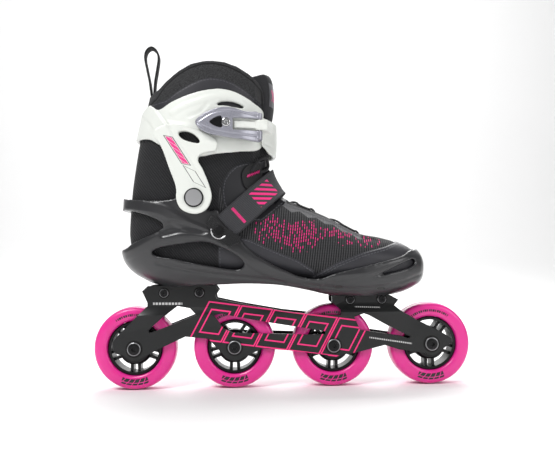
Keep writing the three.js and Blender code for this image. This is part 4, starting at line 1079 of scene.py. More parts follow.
skin_faces = ring_faces(skin_total, SKIN_COLUMNS, close_rows=False).tolist()
tip = np.array([outer_skin[0].mean(0) + (0.8, 0, 0), inner_skin[-1].mean(0) + (1.5, 0, 0)])
first, last = len(skin_points), (skin_total - 1) * SKIN_COLUMNS
skin_points = np.concatenate([skin_points, tip])
for k in range(SKIN_COLUMNS):
    skin_faces.append([first, (k + 1) % SKIN_COLUMNS, k])
    skin_faces.append([first + 1, last + k, last + (k + 1) % SKIN_COLUMNS])
skin = link_mesh("boot_skin", skin_points, skin_faces)
row_of = np.repeat(np.arange(skin_total), SKIN_COLUMNS)
row_of = np.concatenate([row_of, [0, skin_total - 1]])
is_outside = (row_of < SKIN_ROWS).astype(float)
side_view = skin_points[:, [0, 2]]
skin_move = np.zeros(len(skin_points))
for panel_name, outline in PANELS.items():
    inside, along = inside_panel(side_view, outline)
    store(skin, panel_name, inside)
    store(skin, panel_name + "_along", along)
    raise_by = {"toe": 0.8, "wedge": 0.7, "quarter": 0.7, "collar": 1.5, "piping": 0.0}[panel_name]
    swell = 12.0 if panel_name == "collar" else 1.2
    skin_move += raise_by * smoothstep(inside, -0.4, swell)
    skin_move -= 0.5 * (1 - smoothstep(np.abs(inside), 0.3, 1.5))
below_top = (1 - share * np.ones((1, SKIN_COLUMNS))).ravel()
edge_fade = np.ones(len(skin_points))
edge_fade[:SKIN_ROWS * SKIN_COLUMNS] = smoothstep(below_top, 0.0, 0.03)
row_angle = np.concatenate([np.tile(np.minimum(skin_phi, math.tau - skin_phi), skin_total), [0, 0]])
lace_rim = smoothstep(row_angle, 0.43, 0.5) * (1 - smoothstep(row_angle, 0.55, 0.66))
skin_move += 1.3 * lace_rim * smoothstep(skin_points[:, 0], -20, 0) * (1 - smoothstep(skin_points[:, 0], 84, 98))
skin_move *= is_outside * edge_fade
skin_normals = point_normals(out(skin))
set_points(skin, get_points(skin) + skin_normals * skin_move[:, None])
store(skin, "side_x", skin_points[:, 0])
store(skin, "side_z", skin_points[:, 2])
store(skin, "angle", row_angle)
store(skin, "lining", 1 - is_outside)


def stitches(n, inside, along, offset, pitch=3.2, width=0.34):
    """Mask of a row of stitches: dashes along a seam at offset inside its edge."""
    line = n.math("SUBTRACT", 1.0, n.step(n.math("ABSOLUTE", n.math("SUBTRACT", inside, offset)), width, width + 0.12))
    dash = n.step(n.math("PINGPONG", along, pitch / 2), pitch * 0.12, pitch * 0.17)
    return n.math("MULTIPLY", line, dash)


def boot_material():
    """Upper of several cloths, chosen by the stored distances to each sewn panel's edge."""
    material, n, shader = shader_material("boot_upper", Sheen_Weight=0.06, Sheen_Roughness=0.4, Specular_IOR_Level=0.35)
    x, z, angle = n.attribute("side_x"), n.attribute("side_z"), n.attribute("angle")
    inside = {name: n.attribute(name) for name in PANELS}
    along = {name: n.attribute(name + "_along") for name in PANELS}
    leaning = n.math("MULTIPLY_ADD", z, -0.12, x)
    waved = n.math("MULTIPLY_ADD", n.math("SINE", n.math("MULTIPLY", x, 0.2)), 1.6, n.math("MULTIPLY_ADD", x, 0.1, z))
    cell_x = n.math("FLOOR", n.math("DIVIDE", leaning, 2.2))
    cell_z = n.math("FLOOR", n.math("DIVIDE", waved, 3.0))
    cell = n.add("ShaderNodeCombineXYZ", {"X": cell_x, "Y": cell_z})
    chance = n.add("ShaderNodeTexWhiteNoise", {"Vector": cell}).outputs["Value"]
    rib = n.math("PINGPONG", leaning, 1.1)
    purl = n.step(n.math("PINGPONG", z, 0.75), 0.05, 0.4)
    vamp_height = n.math("MULTIPLY", n.step(rib, 0.2, 0.7), n.math("MULTIPLY_ADD", purl, 0.45, 0.55))
    fuzz = n.noise(n.add("ShaderNodeTexCoord").outputs["Object"], 1500.0, 2.0)
    cloud = n.noise(n.add("ShaderNodeTexCoord").outputs["Object"], 45.0, 3.0)
    vamp_colour = n.mix(vamp_height, (0.004, 0.004, 0.005, 1), (0.05, 0.05, 0.053, 1))

    def cluster(centre_x, centre_z, reach_x, reach_z, amount):
        dx = n.math("DIVIDE", n.math("SUBTRACT", x, centre_x), reach_x)
        dz = n.math("DIVIDE", n.math("SUBTRACT", z, centre_z), reach_z)
        away = n.math("SQRT", n.math("ADD", n.math("MULTIPLY", dx, dx), n.math("MULTIPLY", dz, dz)))
        return n.math("MULTIPLY", n.math("SUBTRACT", 1.0, n.step(away, 0.3, 1.0)), amount)

    density = n.math("MAXIMUM", n.math("MAXIMUM", cluster(14, 147, 30, 19, 0.8), cluster(52, 149, 32, 7, 0.75)),
                     n.math("MAXIMUM", cluster(72, 142, 28, 10, 0.55), cluster(-14, 155, 22, 19, 0.6)))
    dashes = n.math("MULTIPLY", n.step(rib, 0.62, 0.76), n.step(n.math("SUBTRACT", density, chance), 0.0, 0.02))
    gap = n.step(n.math("PINGPONG", waved, 1.5), 0.3, 0.45)
    dashes = n.math("MULTIPLY", dashes, gap)
    vamp_colour = n.mix(dashes, vamp_colour, (0.7, 0.02, 0.2, 1))
    jag = n.math("MULTIPLY_ADD", n.math("PINGPONG", x, 8.0), 0.017, 0.66)
    lace_edge = n.math("SUBTRACT", 1.0, n.step(angle, 0.54, 0.56))
    strip = n.math("MULTIPLY", n.step(angle, 0.54, 0.56), n.math("SUBTRACT", 1.0, n.step(n.math("SUBTRACT", angle, jag), 0.0, 0.02)))
    strip = n.math("MULTIPLY", strip, n.math("SUBTRACT", 1.0, n.step(x, 74.0, 76.0)))
    vamp_colour = n.mix(strip, vamp_colour, (0.095, 0.095, 0.10, 1))
    vamp_colour = n.mix(lace_edge, vamp_colour, (0.012, 0.012, 0.013, 1))

    slope = n.math("ADD", x, n.math("MULTIPLY", z, 0.75))
    ankle_rib = n.math("PINGPONG", slope, 1.3)
    ankle_height = n.step(ankle_rib, 0.2, 1.0)
    ankle_colour = n.mix(ankle_height, (0.007, 0.007, 0.008, 1), (0.017, 0.017, 0.019, 1))
    is_ankle = n.math("MAXIMUM", n.math("SUBTRACT", 1.0, n.step(x, -62.0, -60.0)), n.step(z, 192.0, 193.0))
    colour = n.mix(is_ankle, vamp_colour, ankle_colour)
    height = n.blend_value(is_ankle, vamp_height, n.math("MULTIPLY", ankle_height, 0.8))

    slate = n.mix(cloud, (0.020, 0.020, 0.024, 1), (0.034, 0.033, 0.039, 1))
    glossy = n.mix(cloud, (0.006, 0.006, 0.008, 1), (0.012, 0.012, 0.015, 1))
    smooth_zone = n.math("MULTIPLY", n.step(z, 256.0, 258.0), n.math("SUBTRACT", 1.0, n.step(inside["collar"], -0.2, 0.2)))
    masks = []
    for name in ("wedge", "toe", "quarter"):
        mask = n.step(inside[name], -0.25, 0.25)
        colour = n.mix(mask, colour, glossy if name == "quarter" else slate)
        masks.append(mask)
    colour = n.mix(smooth_zone, colour, slate)
    plain = n.math("MAXIMUM", n.math("MAXIMUM", masks[0], masks[1]), n.math("MAXIMUM", masks[2], smooth_zone))
    height = n.blend_value(plain, height, n.math("MULTIPLY", fuzz, 0.12))
    collar = n.step(inside["collar"], -0.2, 0.2)
    colour = n.mix(collar, colour, n.mix(n.step(fuzz, 0.35, 0.65), (0.010, 0.010, 0.011, 1), (0.042, 0.042, 0.044, 1)))
    height = n.blend_value(collar, height, n.math("MULTIPLY", fuzz, 0.6))
    thread = None
    for name, offset in (("toe", 1.6), ("toe", 3.6), ("wedge", 1.6), ("quarter", 1.8), ("collar", -1.6)):
        row = stitches(n, inside[name], along[name], offset)
        thread = row if thread is None else n.math("MAXIMUM", thread, row)
    colour = n.mix(n.math("MULTIPLY", thread, 0.5), colour, (0.1, 0.1, 0.115, 1))
    piping = n.math("SUBTRACT", 1.0, n.step(n.math("ABSOLUTE", inside["piping"]), 0.5, 0.8))
    colour = n.mix(piping, colour, (0.003, 0.003, 0.0035, 1))
    height = n.math("ADD", height, n.math("MULTIPLY", thread, 0.8))
    lining = n.attribute("lining")
    inner_colour = n.mix(fuzz, (0.012, 0.012, 0.013, 1), (0.04, 0.04, 0.043, 1))
    n.join(n.mix(lining, colour, inner_colour), shader.inputs["Base Color"])
    rough = n.blend_value(plain, 0.85, n.math("MULTIPLY_ADD", cloud, 0.25, 0.32))
    rough = n.math("SUBTRACT", rough, n.math("MULTIPLY", strip, 0.35))
    n.join(n.blend_value(lining, rough, n.math("MULTIPLY_ADD", fuzz, 0.05, 0.9)), shader.inputs["Roughness"])
    n.join(bump(n, height, 0.35), shader.inputs["Normal"])
    return material


dress(skin, boot_material())
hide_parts("boot_foot", "boot_collar")
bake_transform(skin)


def sheet_solid(name, outer, inner, close_rows=False):
    """A closed solid between two grids of the same size, with walls round their edges."""
    rows, columns = outer.shape[:2]
    count = rows * columns
    points = np.concatenate([outer.reshape(-1, 3), inner.reshape(-1, 3)])
    quads = ring_faces(rows, columns, close_rows, False)
    faces = [*quads.tolist(), *(quads[:, ::-1] + count).tolist()]
    index = np.arange(count).reshape(rows, columns)
    borders = [index[:, 0], index[:, -1]]
    if not close_rows:
        borders += [index[0], index[-1]]
    for border in borders:
        run = range(len(border) if close_rows and len(border) == rows else len(border) - 1)
        for k in run:
            a, b = int(border[k]), int(border[(k + 1) % len(border)])
            faces.append([a, b, b + count, a + count])
    return out(link_mesh(name, points, faces))


def edge_round(share, depth, size=0.12):
    """How far an outer face drops (mm) toward the edges of a share running 0..1."""
    near = np.minimum(share, 1 - share) / size
    return depth * (1 - np.sqrt(np.clip(1 - (1 - np.clip(near, 0, 1)) ** 2, 0, 1)))


# ---------------------------------------------------------------------------------------------
# Tongue. A padded cloth tongue lies under the laces and stands up in front of the collar, with a
# smooth grey panel sewn on near its top.
def tongue():
    u = np.linspace(0, 1, 90)[None, :]
    v = np.linspace(0, 1, 130)[:, None]
    spread = 0.50 + 0.16 * v
    phi = (2 * u - 1) * spread
    tuck = smoothstep(np.abs(phi), 0.44, 0.58)
    crown = 0.035 * (1 - (2 * u - 1) ** 2)
    low_t, high_t = 0.6, 0.932
    t = low_t + (high_t + crown * 0.2 - low_t) * v
    pinch = edge_round(u, 3.4, 0.10) + edge_round(v, 3.4, 0.05) * (v > 0.5)
    puff = 1.2 * np.sin(math.pi * u) * smoothstep(v, 0.3, 0.9)
    forward = 3.6 * smoothstep(v, 0.35, 0.8) * (1 - tuck) - 7.6 * tuck * smoothstep(v, 0.1, 0.4)
    outer = form_points(t, phi, -0.4 + forward + puff - pinch)
    inner = form_points(t, phi, -LINING + 0.2 + forward + 2.4 * tuck + pinch * 0.9)
    made = sheet_solid("tongue_pad", outer, inner)
    points = get_points(made)
    store(made, "side_z", points[:, 2])
    store(made, "side_y", points[:, 1])
    store(made, "front", (np.arange(len(points)) < 90 * 130).astype(float))
    return made


def tongue_material():
    """Fine black cloth with a grey sewn panel and a pink generic mark of three slanted bars."""
    material, n, shader = shader_material("tongue_cloth", Sheen_Weight=0.06, Specular_IOR_Level=0.35)
    y, z, front = n.attribute("side_y"), n.attribute("side_z"), n.attribute("front")
    fuzz = n.noise(n.add("ShaderNodeTexCoord").outputs["Object"], 1500.0, 2.0)
    cloth = n.mix(fuzz, (0.008, 0.008, 0.009, 1), (0.03, 0.03, 0.033, 1))
    apart = n.math("MAXIMUM", n.math("SUBTRACT", n.math("ABSOLUTE", y), 21.0),
                   n.math("SUBTRACT", n.math("ABSOLUTE", n.math("SUBTRACT", z, 285.0)), 11.5))
    panel = n.math("MULTIPLY", n.math("SUBTRACT", 1.0, n.step(apart, -0.2, 0.2)), front)
    bars = n.math("MULTIPLY", n.step(n.math("PINGPONG", n.math("ADD", y, n.math("MULTIPLY", z, 0.5)), 3.0), 1.6, 1.8),
                  n.math("SUBTRACT", 1.0, n.step(n.math("ABSOLUTE", n.math("SUBTRACT", z, 285.0)), 5.4, 5.6)))
    bars = n.math("MULTIPLY", bars, n.math("SUBTRACT", 1.0, n.step(apart, -4.2, -4.0)))
    colour = n.mix(panel, cloth, (0.085, 0.083, 0.095, 1))
    colour = n.mix(n.math("MULTIPLY", bars, front), colour, (0.8, 0.02, 0.22, 1))
    n.join(colour, shader.inputs["Base Color"])
    n.join(n.blend_value(panel, 0.88, n.math("MULTIPLY_ADD", fuzz, 0.1, 0.42)), shader.inputs["Roughness"])
    n.join(bump(n, n.math("ADD", n.math("MULTIPLY", fuzz, 0.5), panel), 0.3), shader.inputs["Normal"])
    return material


tongue_pad = tongue()
dress(tongue_pad, tongue_material())
tongue_pad.data.shade_smooth()
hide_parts("tongue")
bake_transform(tongue_pad)


# ---------------------------------------------------------------------------------------------
# Laces and loops. A round black lace zigzags over the tongue through the edges of the vamp, and a
# piped patch with a webbing D-loop and a pink bar-tack is sewn on at each side below the cuff.
def tube(route, radius, sides=10):
    """A closed tube round an open route of points (mm): frames carried along by the least turn."""
    route = np.asarray(route, float)
    along = unit(np.gradient(route, axis=0))
    across = np.empty_like(along)
    guide = np.array([0.0, 0.0, 1.0]) if abs(along[0, 2]) < 0.9 else np.array([0.0, 1.0, 0.0])
    across[0] = unit(np.cross(along[0], guide))
    for k in range(1, len(route)):
        across[k] = unit(across[k - 1] - along[k] * (across[k - 1] @ along[k]))
    other = np.cross(along, across)
    angle = np.linspace(0, math.tau, sides, endpoint=False)
    ring = across[:, None] * np.cos(angle)[None, :, None] + other[:, None] * np.sin(angle)[None, :, None]
    points = route[:, None] + ring * radius
    faces = ring_faces(len(route), sides, close_rows=False).tolist()
    faces += [list(range(sides))[::-1], list(range((len(route) - 1) * sides, len(route) * sides))]
    return points.reshape(-1, 3), faces, np.linspace(0, 1, len(route)).repeat(sides), np.tile(angle, len(route))


LACE_ROWS, LACE_FROM, LACE_TO, LACE_SPREAD, LACE_LIFT = 9, 0.2, 0.56, 0.42, 1.25
lace_points = []
for lace_row in range(LACE_ROWS + 1):
    row_t = LACE_FROM + (LACE_TO - LACE_FROM) * lace_row / LACE_ROWS
    turn = 1 if lace_row % 2 else -1
    for step in (-0.9, -0.45, 0, 0.45, 0.9):
        lace_points.append(form_points(row_t + step * 0.012, turn * step * LACE_SPREAD, LACE_LIFT))
lace_route = smooth_path(np.array(lace_points), spacing=1.0)
LACE_THREAD = woven("lace_braid", (0.02, 0.02, 0.022), (1.2, 1.2), 0.25)
lace_mesh = tube(lace_route, 1.0, 12)
lace = out(link_mesh("lace_piece", lace_mesh[0], lace_mesh[1], LACE_THREAD))
uv_from(lace, lambda c: np.stack([c[:, 0] + c[:, 1], c[:, 1] - c[:, 0]], -1))
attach(lace, "root")
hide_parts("lace")


LOOP_PATCH = [[-38.5, 199.3], [-38.5, 206.4], [-34.9, 212.3], [-28.9, 215.8], [-21.9, 214.6], [-19.6, 208.7],
              [-20.9, 199.2], [-26.8, 192.1], [-33.9, 191]]
PATCH_CLOTH = woven("patch_webbing", (0.012, 0.012, 0.013), (1.3, 1.3), 0.3, 0.7)
TACK_THREAD = woven("bar_tack_thread", (0.85, 0.03, 0.24), (0.9, 0.9), 0.3, 0.6)
for side, side_name in ((-1, "outer_side"), (1, "inner_side")):
    patch = form_loft("lace_patch_" + side_name, 0.3, 0.8, 2.3, spacing=2.0)
    low, high = (-80, 0) if side < 0 else (0, 80)
    boolean(patch, [side_cutter("patch_keep", LOOP_PATCH, low, high)], "INTERSECT")
    boolean(patch, [form_loft("patch_room", 0.2, 0.9, 0.9, spacing=2.0)])
    remesh(patch, 0.5, 3)
    press_ribs(patch, [(np.array(LOOP_PATCH + LOOP_PATCH[:2]), 1.1, 0.5, 0.5)], 0.1)
    uv_from(patch, lambda c: c[:, [0, 2]])
    dress(patch, PATCH_CLOTH)
    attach(patch, "root")
    zigzag = np.array([[-33.8 + 12.3 * k / 16, 203.6 + 5.9 * k / 16 + (0.9 if k % 2 else -0.9)] for k in range(17)])
    tack_route = form_at(zigzag[:, 0], zigzag[:, 1], 2.6, side)
    tack_mesh = tube(tack_route, 0.75, 8)
    tack = out(link_mesh("bar_tack_" + side_name, tack_mesh[0], tack_mesh[1], TACK_THREAD))
    uv_from(tack, lambda c: c[:, [0, 2]])
    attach(tack, "root")
    ring_line = np.array([[-30, 208], [-26, 215], [-20.5, 221], [-15.5, 222], [-13.5, 216], [-16.5, 210.5], [-22, 208.5]])
    ring_path = smooth_path(ring_line, spacing=0.8)
    ring_route = form_at(ring_path[:, 0], ring_path[:, 1], 3.0, side)
    ring_mesh = tube(ring_route, 1.5, 10)
    ring = out(link_mesh("lace_ring_" + side_name, ring_mesh[0], ring_mesh[1], LACE_THREAD))
    uv_from(ring, lambda c: c[:, [0, 2]])
    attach(ring, "root")


# ---------------------------------------------------------------------------------------------
# Instep strap. A band of ribbed webbing crosses the instep at a slope and runs down both sides to
# moulded anchor plates, each held to the base by a rivet.
STRAP_START = np.array([-52.5, 156.8])
STRAP_SLOPE = math.radians(41.7)
STRAP_ALONG = np.array([math.cos(STRAP_SLOPE), math.sin(STRAP_SLOPE)])
STRAP_ACROSS = np.array([-STRAP_ALONG[1], STRAP_ALONG[0]])
STRAP_HALF = 13.0
STRAP_IN, STRAP_OUT = 4.2, 6.4


def strap_ridge(w, outward):
    """How far along the strap, for each offset w across it, its prism meets the front line."""
    line = FRONT_LINE + FRONT_NORMAL * outward
    reach = (line - STRAP_START) @ STRAP_ALONG
    offset = (line - STRAP_START) @ STRAP_ACROSS
    order = np.argsort(offset[200:620])
    return np.interp(w, offset[200:620][order], reach[200:620][order])


def strap_grid(outward, rows, columns, s_from=-2.0):
    """Grid of the band: rows run across it; columns go from one end over the ridge to the other.
    The share q runs -1..1 and the distance is ridge - (ridge - start) q^2, even in width."""
    w = np.linspace(-STRAP_HALF, STRAP_HALF, rows)[:, None]
    q = np.linspace(-1, 1, columns)[None, :]
    ridge = strap_ridge(w[:, 0], 5.3)[:, None]
    s = ridge - (ridge - s_from) * q ** 2
    x = STRAP_START[0] + STRAP_ALONG[0] * s + STRAP_ACROSS[0] * w
    z = STRAP_START[1] + STRAP_ALONG[1] * s + STRAP_ACROSS[1] * w
    offset = np.broadcast_to(outward, x.shape)
    points = form_at(x, z, offset)
    points[..., 1] *= np.where(q < 0, 1.0, -1.0)
    return points, s, w


strap_rows, strap_columns = 34, 220
edge = edge_round(np.linspace(0, 1, strap_rows), 0.8, 0.06)[:, None] + np.zeros((1, strap_columns))
strap_outer, strap_s, strap_w = strap_grid(STRAP_OUT - edge, strap_rows, strap_columns)
strap_inner, _, _ = strap_grid(STRAP_IN + edge * 0.6, strap_rows, strap_columns)
strap = sheet_solid("instep_strap_piece", strap_outer, strap_inner)
strap_total = strap_rows * strap_columns
store(strap, "strap_s", np.tile(strap_s.ravel(), 2))
store(strap, "strap_w", np.tile(np.broadcast_to(strap_w, strap_s.shape).ravel(), 2))
strap.data.shade_smooth()


def strap_material():
    """Grosgrain: fine ribs across the band, bound edges, a pink generic mark near the top made of
    slanted bars, and a pink bar-tack by the anchor."""
    material, n, shader = shader_material("webbing_grosgrain", Sheen_Weight=0.08, Specular_IOR_Level=0.3)
    s, w = n.attribute("strap_s"), n.attribute("strap_w")
    rib = n.math("PINGPONG", s, 0.55)
    rib_height = n.step(rib, 0.05, 0.5)
    fuzz = n.noise(n.add("ShaderNodeTexCoord").outputs["Object"], 1300.0, 2.0)
    colour = n.mix(rib_height, (0.022, 0.022, 0.025, 1), (0.062, 0.062, 0.068, 1))
    at_edge = n.step(n.math("ABSOLUTE", w), 11.4, 11.8)
    colour = n.mix(at_edge, colour, (0.03, 0.03, 0.033, 1))
    bars = n.step(n.math("PINGPONG", n.math("ADD", w, n.math("MULTIPLY", s, 0.9)), 3.1), 1.45, 1.6)
    zone = n.math("MULTIPLY", n.math("SUBTRACT", 1.0, n.step(n.math("ABSOLUTE", n.math("SUBTRACT", s, 46.0)), 11.5, 11.7)),
                  n.math("SUBTRACT", 1.0, n.step(n.math("ABSOLUTE", w), 8.4, 8.6)))
    tack = n.math("MULTIPLY", n.math("SUBTRACT", 1.0, n.step(n.math("ABSOLUTE", n.math("SUBTRACT", s, 13.5)), 1.3, 1.5)),
                  n.math("SUBTRACT", 1.0, n.step(n.math("ABSOLUTE", w), 9.0, 9.2)))
    tack = n.math("MULTIPLY", tack, n.step(n.math("PINGPONG", n.math("ADD", w, n.math("MULTIPLY", s, 1.5)), 0.8), 0.15, 0.3))
    colour = n.mix(n.math("MAXIMUM", n.math("MULTIPLY", bars, zone), tack), colour, (0.85, 0.03, 0.22, 1))
    n.join(colour, shader.inputs["Base Color"])
    n.join(n.math("MULTIPLY_ADD", fuzz, 0.1, 0.8), shader.inputs["Roughness"])
    n.join(bump(n, n.math("ADD", rib_height, n.math("MULTIPLY", fuzz, 0.3)), 0.3), shader.inputs["Normal"])
    return material


dress(strap, strap_material())
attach(strap, "root")
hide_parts("instep_strap")

GLOSS = moulded("anchor_gloss_black", (0.008, 0.008, 0.009), 0.2, mottle=0.3, Coat_Weight=0.6, Coat_Roughness=0.1)
RIVET = moulded("rivet_grey_steel", (0.42, 0.42, 0.43), 0.42, Metallic=0.7)
CHROME = moulded("bright_steel", (0.62, 0.62, 0.63), 0.16, Metallic=1.0)
for side, node_side in ((-1, "outer_side"), (1, "inner_side")):
    carried("strap_anchor_" + node_side + "_piece", ["strap_anchor_" + node_side], GLOSS, edge=0.7)
    carried("strap_anchor_rivet_" + node_side + "_piece", ["strap_anchor_rivet_" + node_side], BOLT, edge=0.4)
    arc_line = arc(-60.5, 151.5, 7.4, 165, 318, 40)
    arc_mesh = tube(form_at(arc_line[:, 0], arc_line[:, 1], 9.0, side), 0.75, 10)
    trim = out(link_mesh("anchor_trim_" + node_side, arc_mesh[0], arc_mesh[1], CHROME))
    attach(trim, "root")


# ---------------------------------------------------------------------------------------------
# Cuff. A white moulded shell round the ankle with a raised strut at each side, hinged to the base
# on two rivets. It has a lens-shaped window and a slot that guides the closing band.
CUFF_OUTLINE = [[-160, 264], [-146, 263.5], [-138, 266], [-131, 270], [-126, 272], [-117, 266.7], [-104, 273],
                [-83.5, 280.3], [-66.9, 283.7], [-54.4, 283.9], [-42, 280.7], [-26.5, 272.3], [-18.2, 266.5],
                [-18.3, 258], [-21, 231], [-42.5, 226], [-63.2, 223.4], [-80, 221], [-116, 233], [-126, 239], [-143, 241],
                [-160, 241]]
STRUT_OUTLINE = [[-121, 242], [-113, 229.7], [-106.2, 210], [-99.9, 191.4], [-99.6, 180], [-95.6, 171.8], [-87, 167.5],
                 [-78.5, 167.5], [-71, 172.2], [-67.1, 181.9], [-68.5, 191.2], [-75.2, 208.6], [-79.6, 217],
                 [-78, 221.4], [-72, 224], [-63, 226], [-63, 236], [-108, 250]]
CUFF_WINDOW = [[-97.8, 242.9], [-93.6, 244.1], [-87.9, 243.4], [-81, 239.4], [-77.1, 233], [-86.8, 234], [-94.8, 237.5]]
CUFF_SLOT = [[-63.9, 268.6], [-58.8, 271.5], [-50.6, 272.4], [-42.4, 270.9], [-35.4, 267.1], [-44.8, 267.2],
             [-54.1, 268.6]]
PIVOT_X, PIVOT_Z = -83.5, 182.0
CUFF_IN, CUFF_OUT = 0.5, 4.0
STRUT_IN, STRUT_OUT = 46.1, 49.6

STRUT_EDGE = [[-120, 269], [-117.6, 265], [-106.2, 248.6], [-98.2, 235.7], [-90, 224], [-84, 214], [-78, 203]]

cuff = form_loft("cuff_piece", 0.55, 0.96, CUFF_OUT)
boolean(cuff, [side_cutter("cuff_keep", CUFF_OUTLINE)], "INTERSECT")
struts = [side_cutter("strut", STRUT_OUTLINE, *span) for span in ((-STRUT_OUT, -STRUT_IN + 2.9), (STRUT_IN - 2.9, STRUT_OUT))]
pockets = []
for lo, hi in ((-STRUT_IN, -STRUT_IN + 6), (STRUT_IN - 6, STRUT_IN)):
    pockets.append(out(link_mesh("pocket", *extruded(arc(PIVOT_X, PIVOT_Z, 26, 0, 360, 65)[:-1], lo, hi))))
for strut, pocket in zip(struts, pockets):
    boolean(strut, [pocket])
boolean(cuff, struts, "UNION")
boolean(cuff, [form_loft("ankle_room", 0.3, 0.99, CUFF_IN),
               side_cutter("window", CUFF_WINDOW), side_cutter("cuff_slot", CUFF_SLOT),
               out(link_mesh("pivot_hole", *extruded(arc(PIVOT_X, PIVOT_Z, 4.6, 0, 360, 41)[:-1], -80, 80)))])
remesh(cuff, 0.95, 5)
press_ribs(cuff, [
    ([[-131, 269], [-122, 260], [-113, 245], [-105, 226], [-97, 206], [-90, 190]], 5.0, 2.6, 1.1),
    ([[-64, 232], [-76, 234], [-72, 240], [-84, 248], [-97, 250], [-108, 252]], 0.8, 3.5, 0.55),
    (STRUT_EDGE, 0.3, 1.1, -0.75),
    ([[-104, 262], [-92, 268], [-80, 272], [-66, 276], [-52, 277]], 0.8, 3.0, 0.5),
    ([[-88, 258], [-78, 262], [-70, 270]], 0.6, 2.2, -0.5),
    ([[-66, 241], [-50, 239], [-30, 239]], 1.0, 1.8, -0.5),
    ([[-36, 276], [-24, 269], [-18, 262]], 1.4, 2.0, 0.4),
], 0.2)


def cuff_material():
    """Satin white plastic. Each strut carries a printed shard: a thin dark outline with a pink
    hatched fill, set out along the strut from (-113, 238) towards the pivot."""
    material, n, shader = shader_material("cuff_white_plastic", Coat_Weight=0.2, Coat_Roughness=0.25)
    group = n.add("ShaderNodeGroup", node_tree=MOULDED)
    group.inputs["Color"].default_value = (0.72, 0.74, 0.70, 1)
    group.inputs["Roughness"].default_value = 0.38
    group.inputs["Mottle"].default_value = 0.06
    place = n.add("ShaderNodeSeparateXYZ", {"Vector": n.add("ShaderNodeTexCoord").outputs["Object"]})
    x = n.math("MULTIPLY", place.outputs[0], 1000.0)
    y = n.math("MULTIPLY", place.outputs[1], 1000.0)
    z = n.math("MULTIPLY", place.outputs[2], 1000.0)
    dx, dz = n.math("ADD", x, 108.3), n.math("SUBTRACT", z, 239.2)
    along = n.math("SUBTRACT", n.math("MULTIPLY", dx, 0.53), n.math("MULTIPLY", dz, 0.848))
    aside = n.math("ADD", n.math("MULTIPLY", dx, 0.848), n.math("MULTIPLY", dz, 0.53))

    def shard(start, end, middle, half, slant):
        slanted = n.math("ADD", along, n.math("MULTIPLY", aside, slant))
        away = n.math("SUBTRACT", n.math("ABSOLUTE", n.math("SUBTRACT", aside, middle)), half)
        centre = n.math("SUBTRACT", slanted, (start + end) / 2)
        return n.math("MAXIMUM", away, n.math("SUBTRACT", n.math("ABSOLUTE", centre), (end - start) / 2))

    first = shard(0.0, 31.0, 1.2, 3.0, -0.9)
    second = shard(34.0, 52.0, 1.6, 3.2, -1.6)
    fill = n.math("SUBTRACT", 1.0, n.step(first, -0.9, -0.7))
    hatch = n.step(n.math("PINGPONG", n.math("ADD", along, n.math("MULTIPLY", aside, -2.2)), 3.4), 0.25, 0.45)
    lines = n.math("MAXIMUM", n.math("SUBTRACT", 1.0, n.step(n.math("ABSOLUTE", first), 0.25, 0.4)),
                   n.math("SUBTRACT", 1.0, n.step(n.math("ABSOLUTE", second), 0.2, 0.35)))
    on_strut = n.step(n.math("ABSOLUTE", y), 46.5, 47.0)
    colour = n.mix(n.math("MULTIPLY", n.math("MULTIPLY", fill, hatch), on_strut), group.outputs["Color"], (0.8, 0.03, 0.25, 1))
    colour = n.mix(n.math("MULTIPLY", lines, on_strut), colour, (0.02, 0.02, 0.025, 1))
    n.join(colour, shader.inputs["Base Color"])
    n.join(group.outputs["Roughness"], shader.inputs["Roughness"])
    n.join(bump(n, group.outputs["Height"], 0.012), shader.inputs["Normal"])
    return material


WHITE = cuff_material()
dress(cuff, WHITE)
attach(cuff, "cuff_body")
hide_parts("cuff")
for node_side, side in (("outer_side", -1), ("inner_side", 1)):
    seat, shaft_end = 49.9, 41.8
    profile = [(0.02, shaft_end), (4.0, shaft_end), (4.0, seat), (8.7, seat), (9.0, seat + 0.4), (8.8, seat + 1.1),
               (8.2, seat + 1.3), (7.9, seat + 0.9), (7.7, seat + 1.3), (7.2, seat + 1.7), (4.0, seat + 1.8),
               (0.02, seat + 1.85)]
    points, faces = turned_mesh([(r, side * y) for r, y in profile], PIVOT_X, PIVOT_Z, 72)
    rivet = sharp_smooth(out(link_mesh(f"pivot_rivet_{node_side}", points, faces, RIVET)), 35)
    rivet.data.materials.append(BOLT)
    for polygon in rivet.data.polygons:
        if math.hypot(polygon.center.x / MM - PIVOT_X, polygon.center.z / MM - PIVOT_Z) > 7.75:
            polygon.material_index = 1
    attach(rivet, "root")
    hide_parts(f"cuff_pivot_rivet_{node_side}")


# ---------------------------------------------------------------------------------------------
# Buckle. A white band closes round the front of the cuff and ends in a knuckle. A silver lever
# turns on a pin through that knuckle; a hex screw holds its hook plate.
LEVER_AXIS = (-22.5, -45.5)
BAND_IN, BAND_OUT = 4.3, 8.0


def slab(name, plan, z0, z1):
    """A closed (x, y) outline carried from z0 to z1."""
    plan = np.asarray(plan, float)
    count = len(plan)
    low = np.column_stack([plan, np.full(count, z0)])
    high = np.column_stack([plan, np.full(count, z1)])
    sides = [(i, (i + 1) % count, count + (i + 1) % count, count + i) for i in range(count)]
    return out(link_mesh(name, np.concatenate([low, high]), [tuple(range(count))[::-1], tuple(range(count, 2 * count)), *sides]))


def upright(name, radius, z0, z1, x=LEVER_AXIS[0], y=LEVER_AXIS[1]):
    return slab(name, arc(x, y, radius, 0, 360, 41)[:-1], z0, z1)


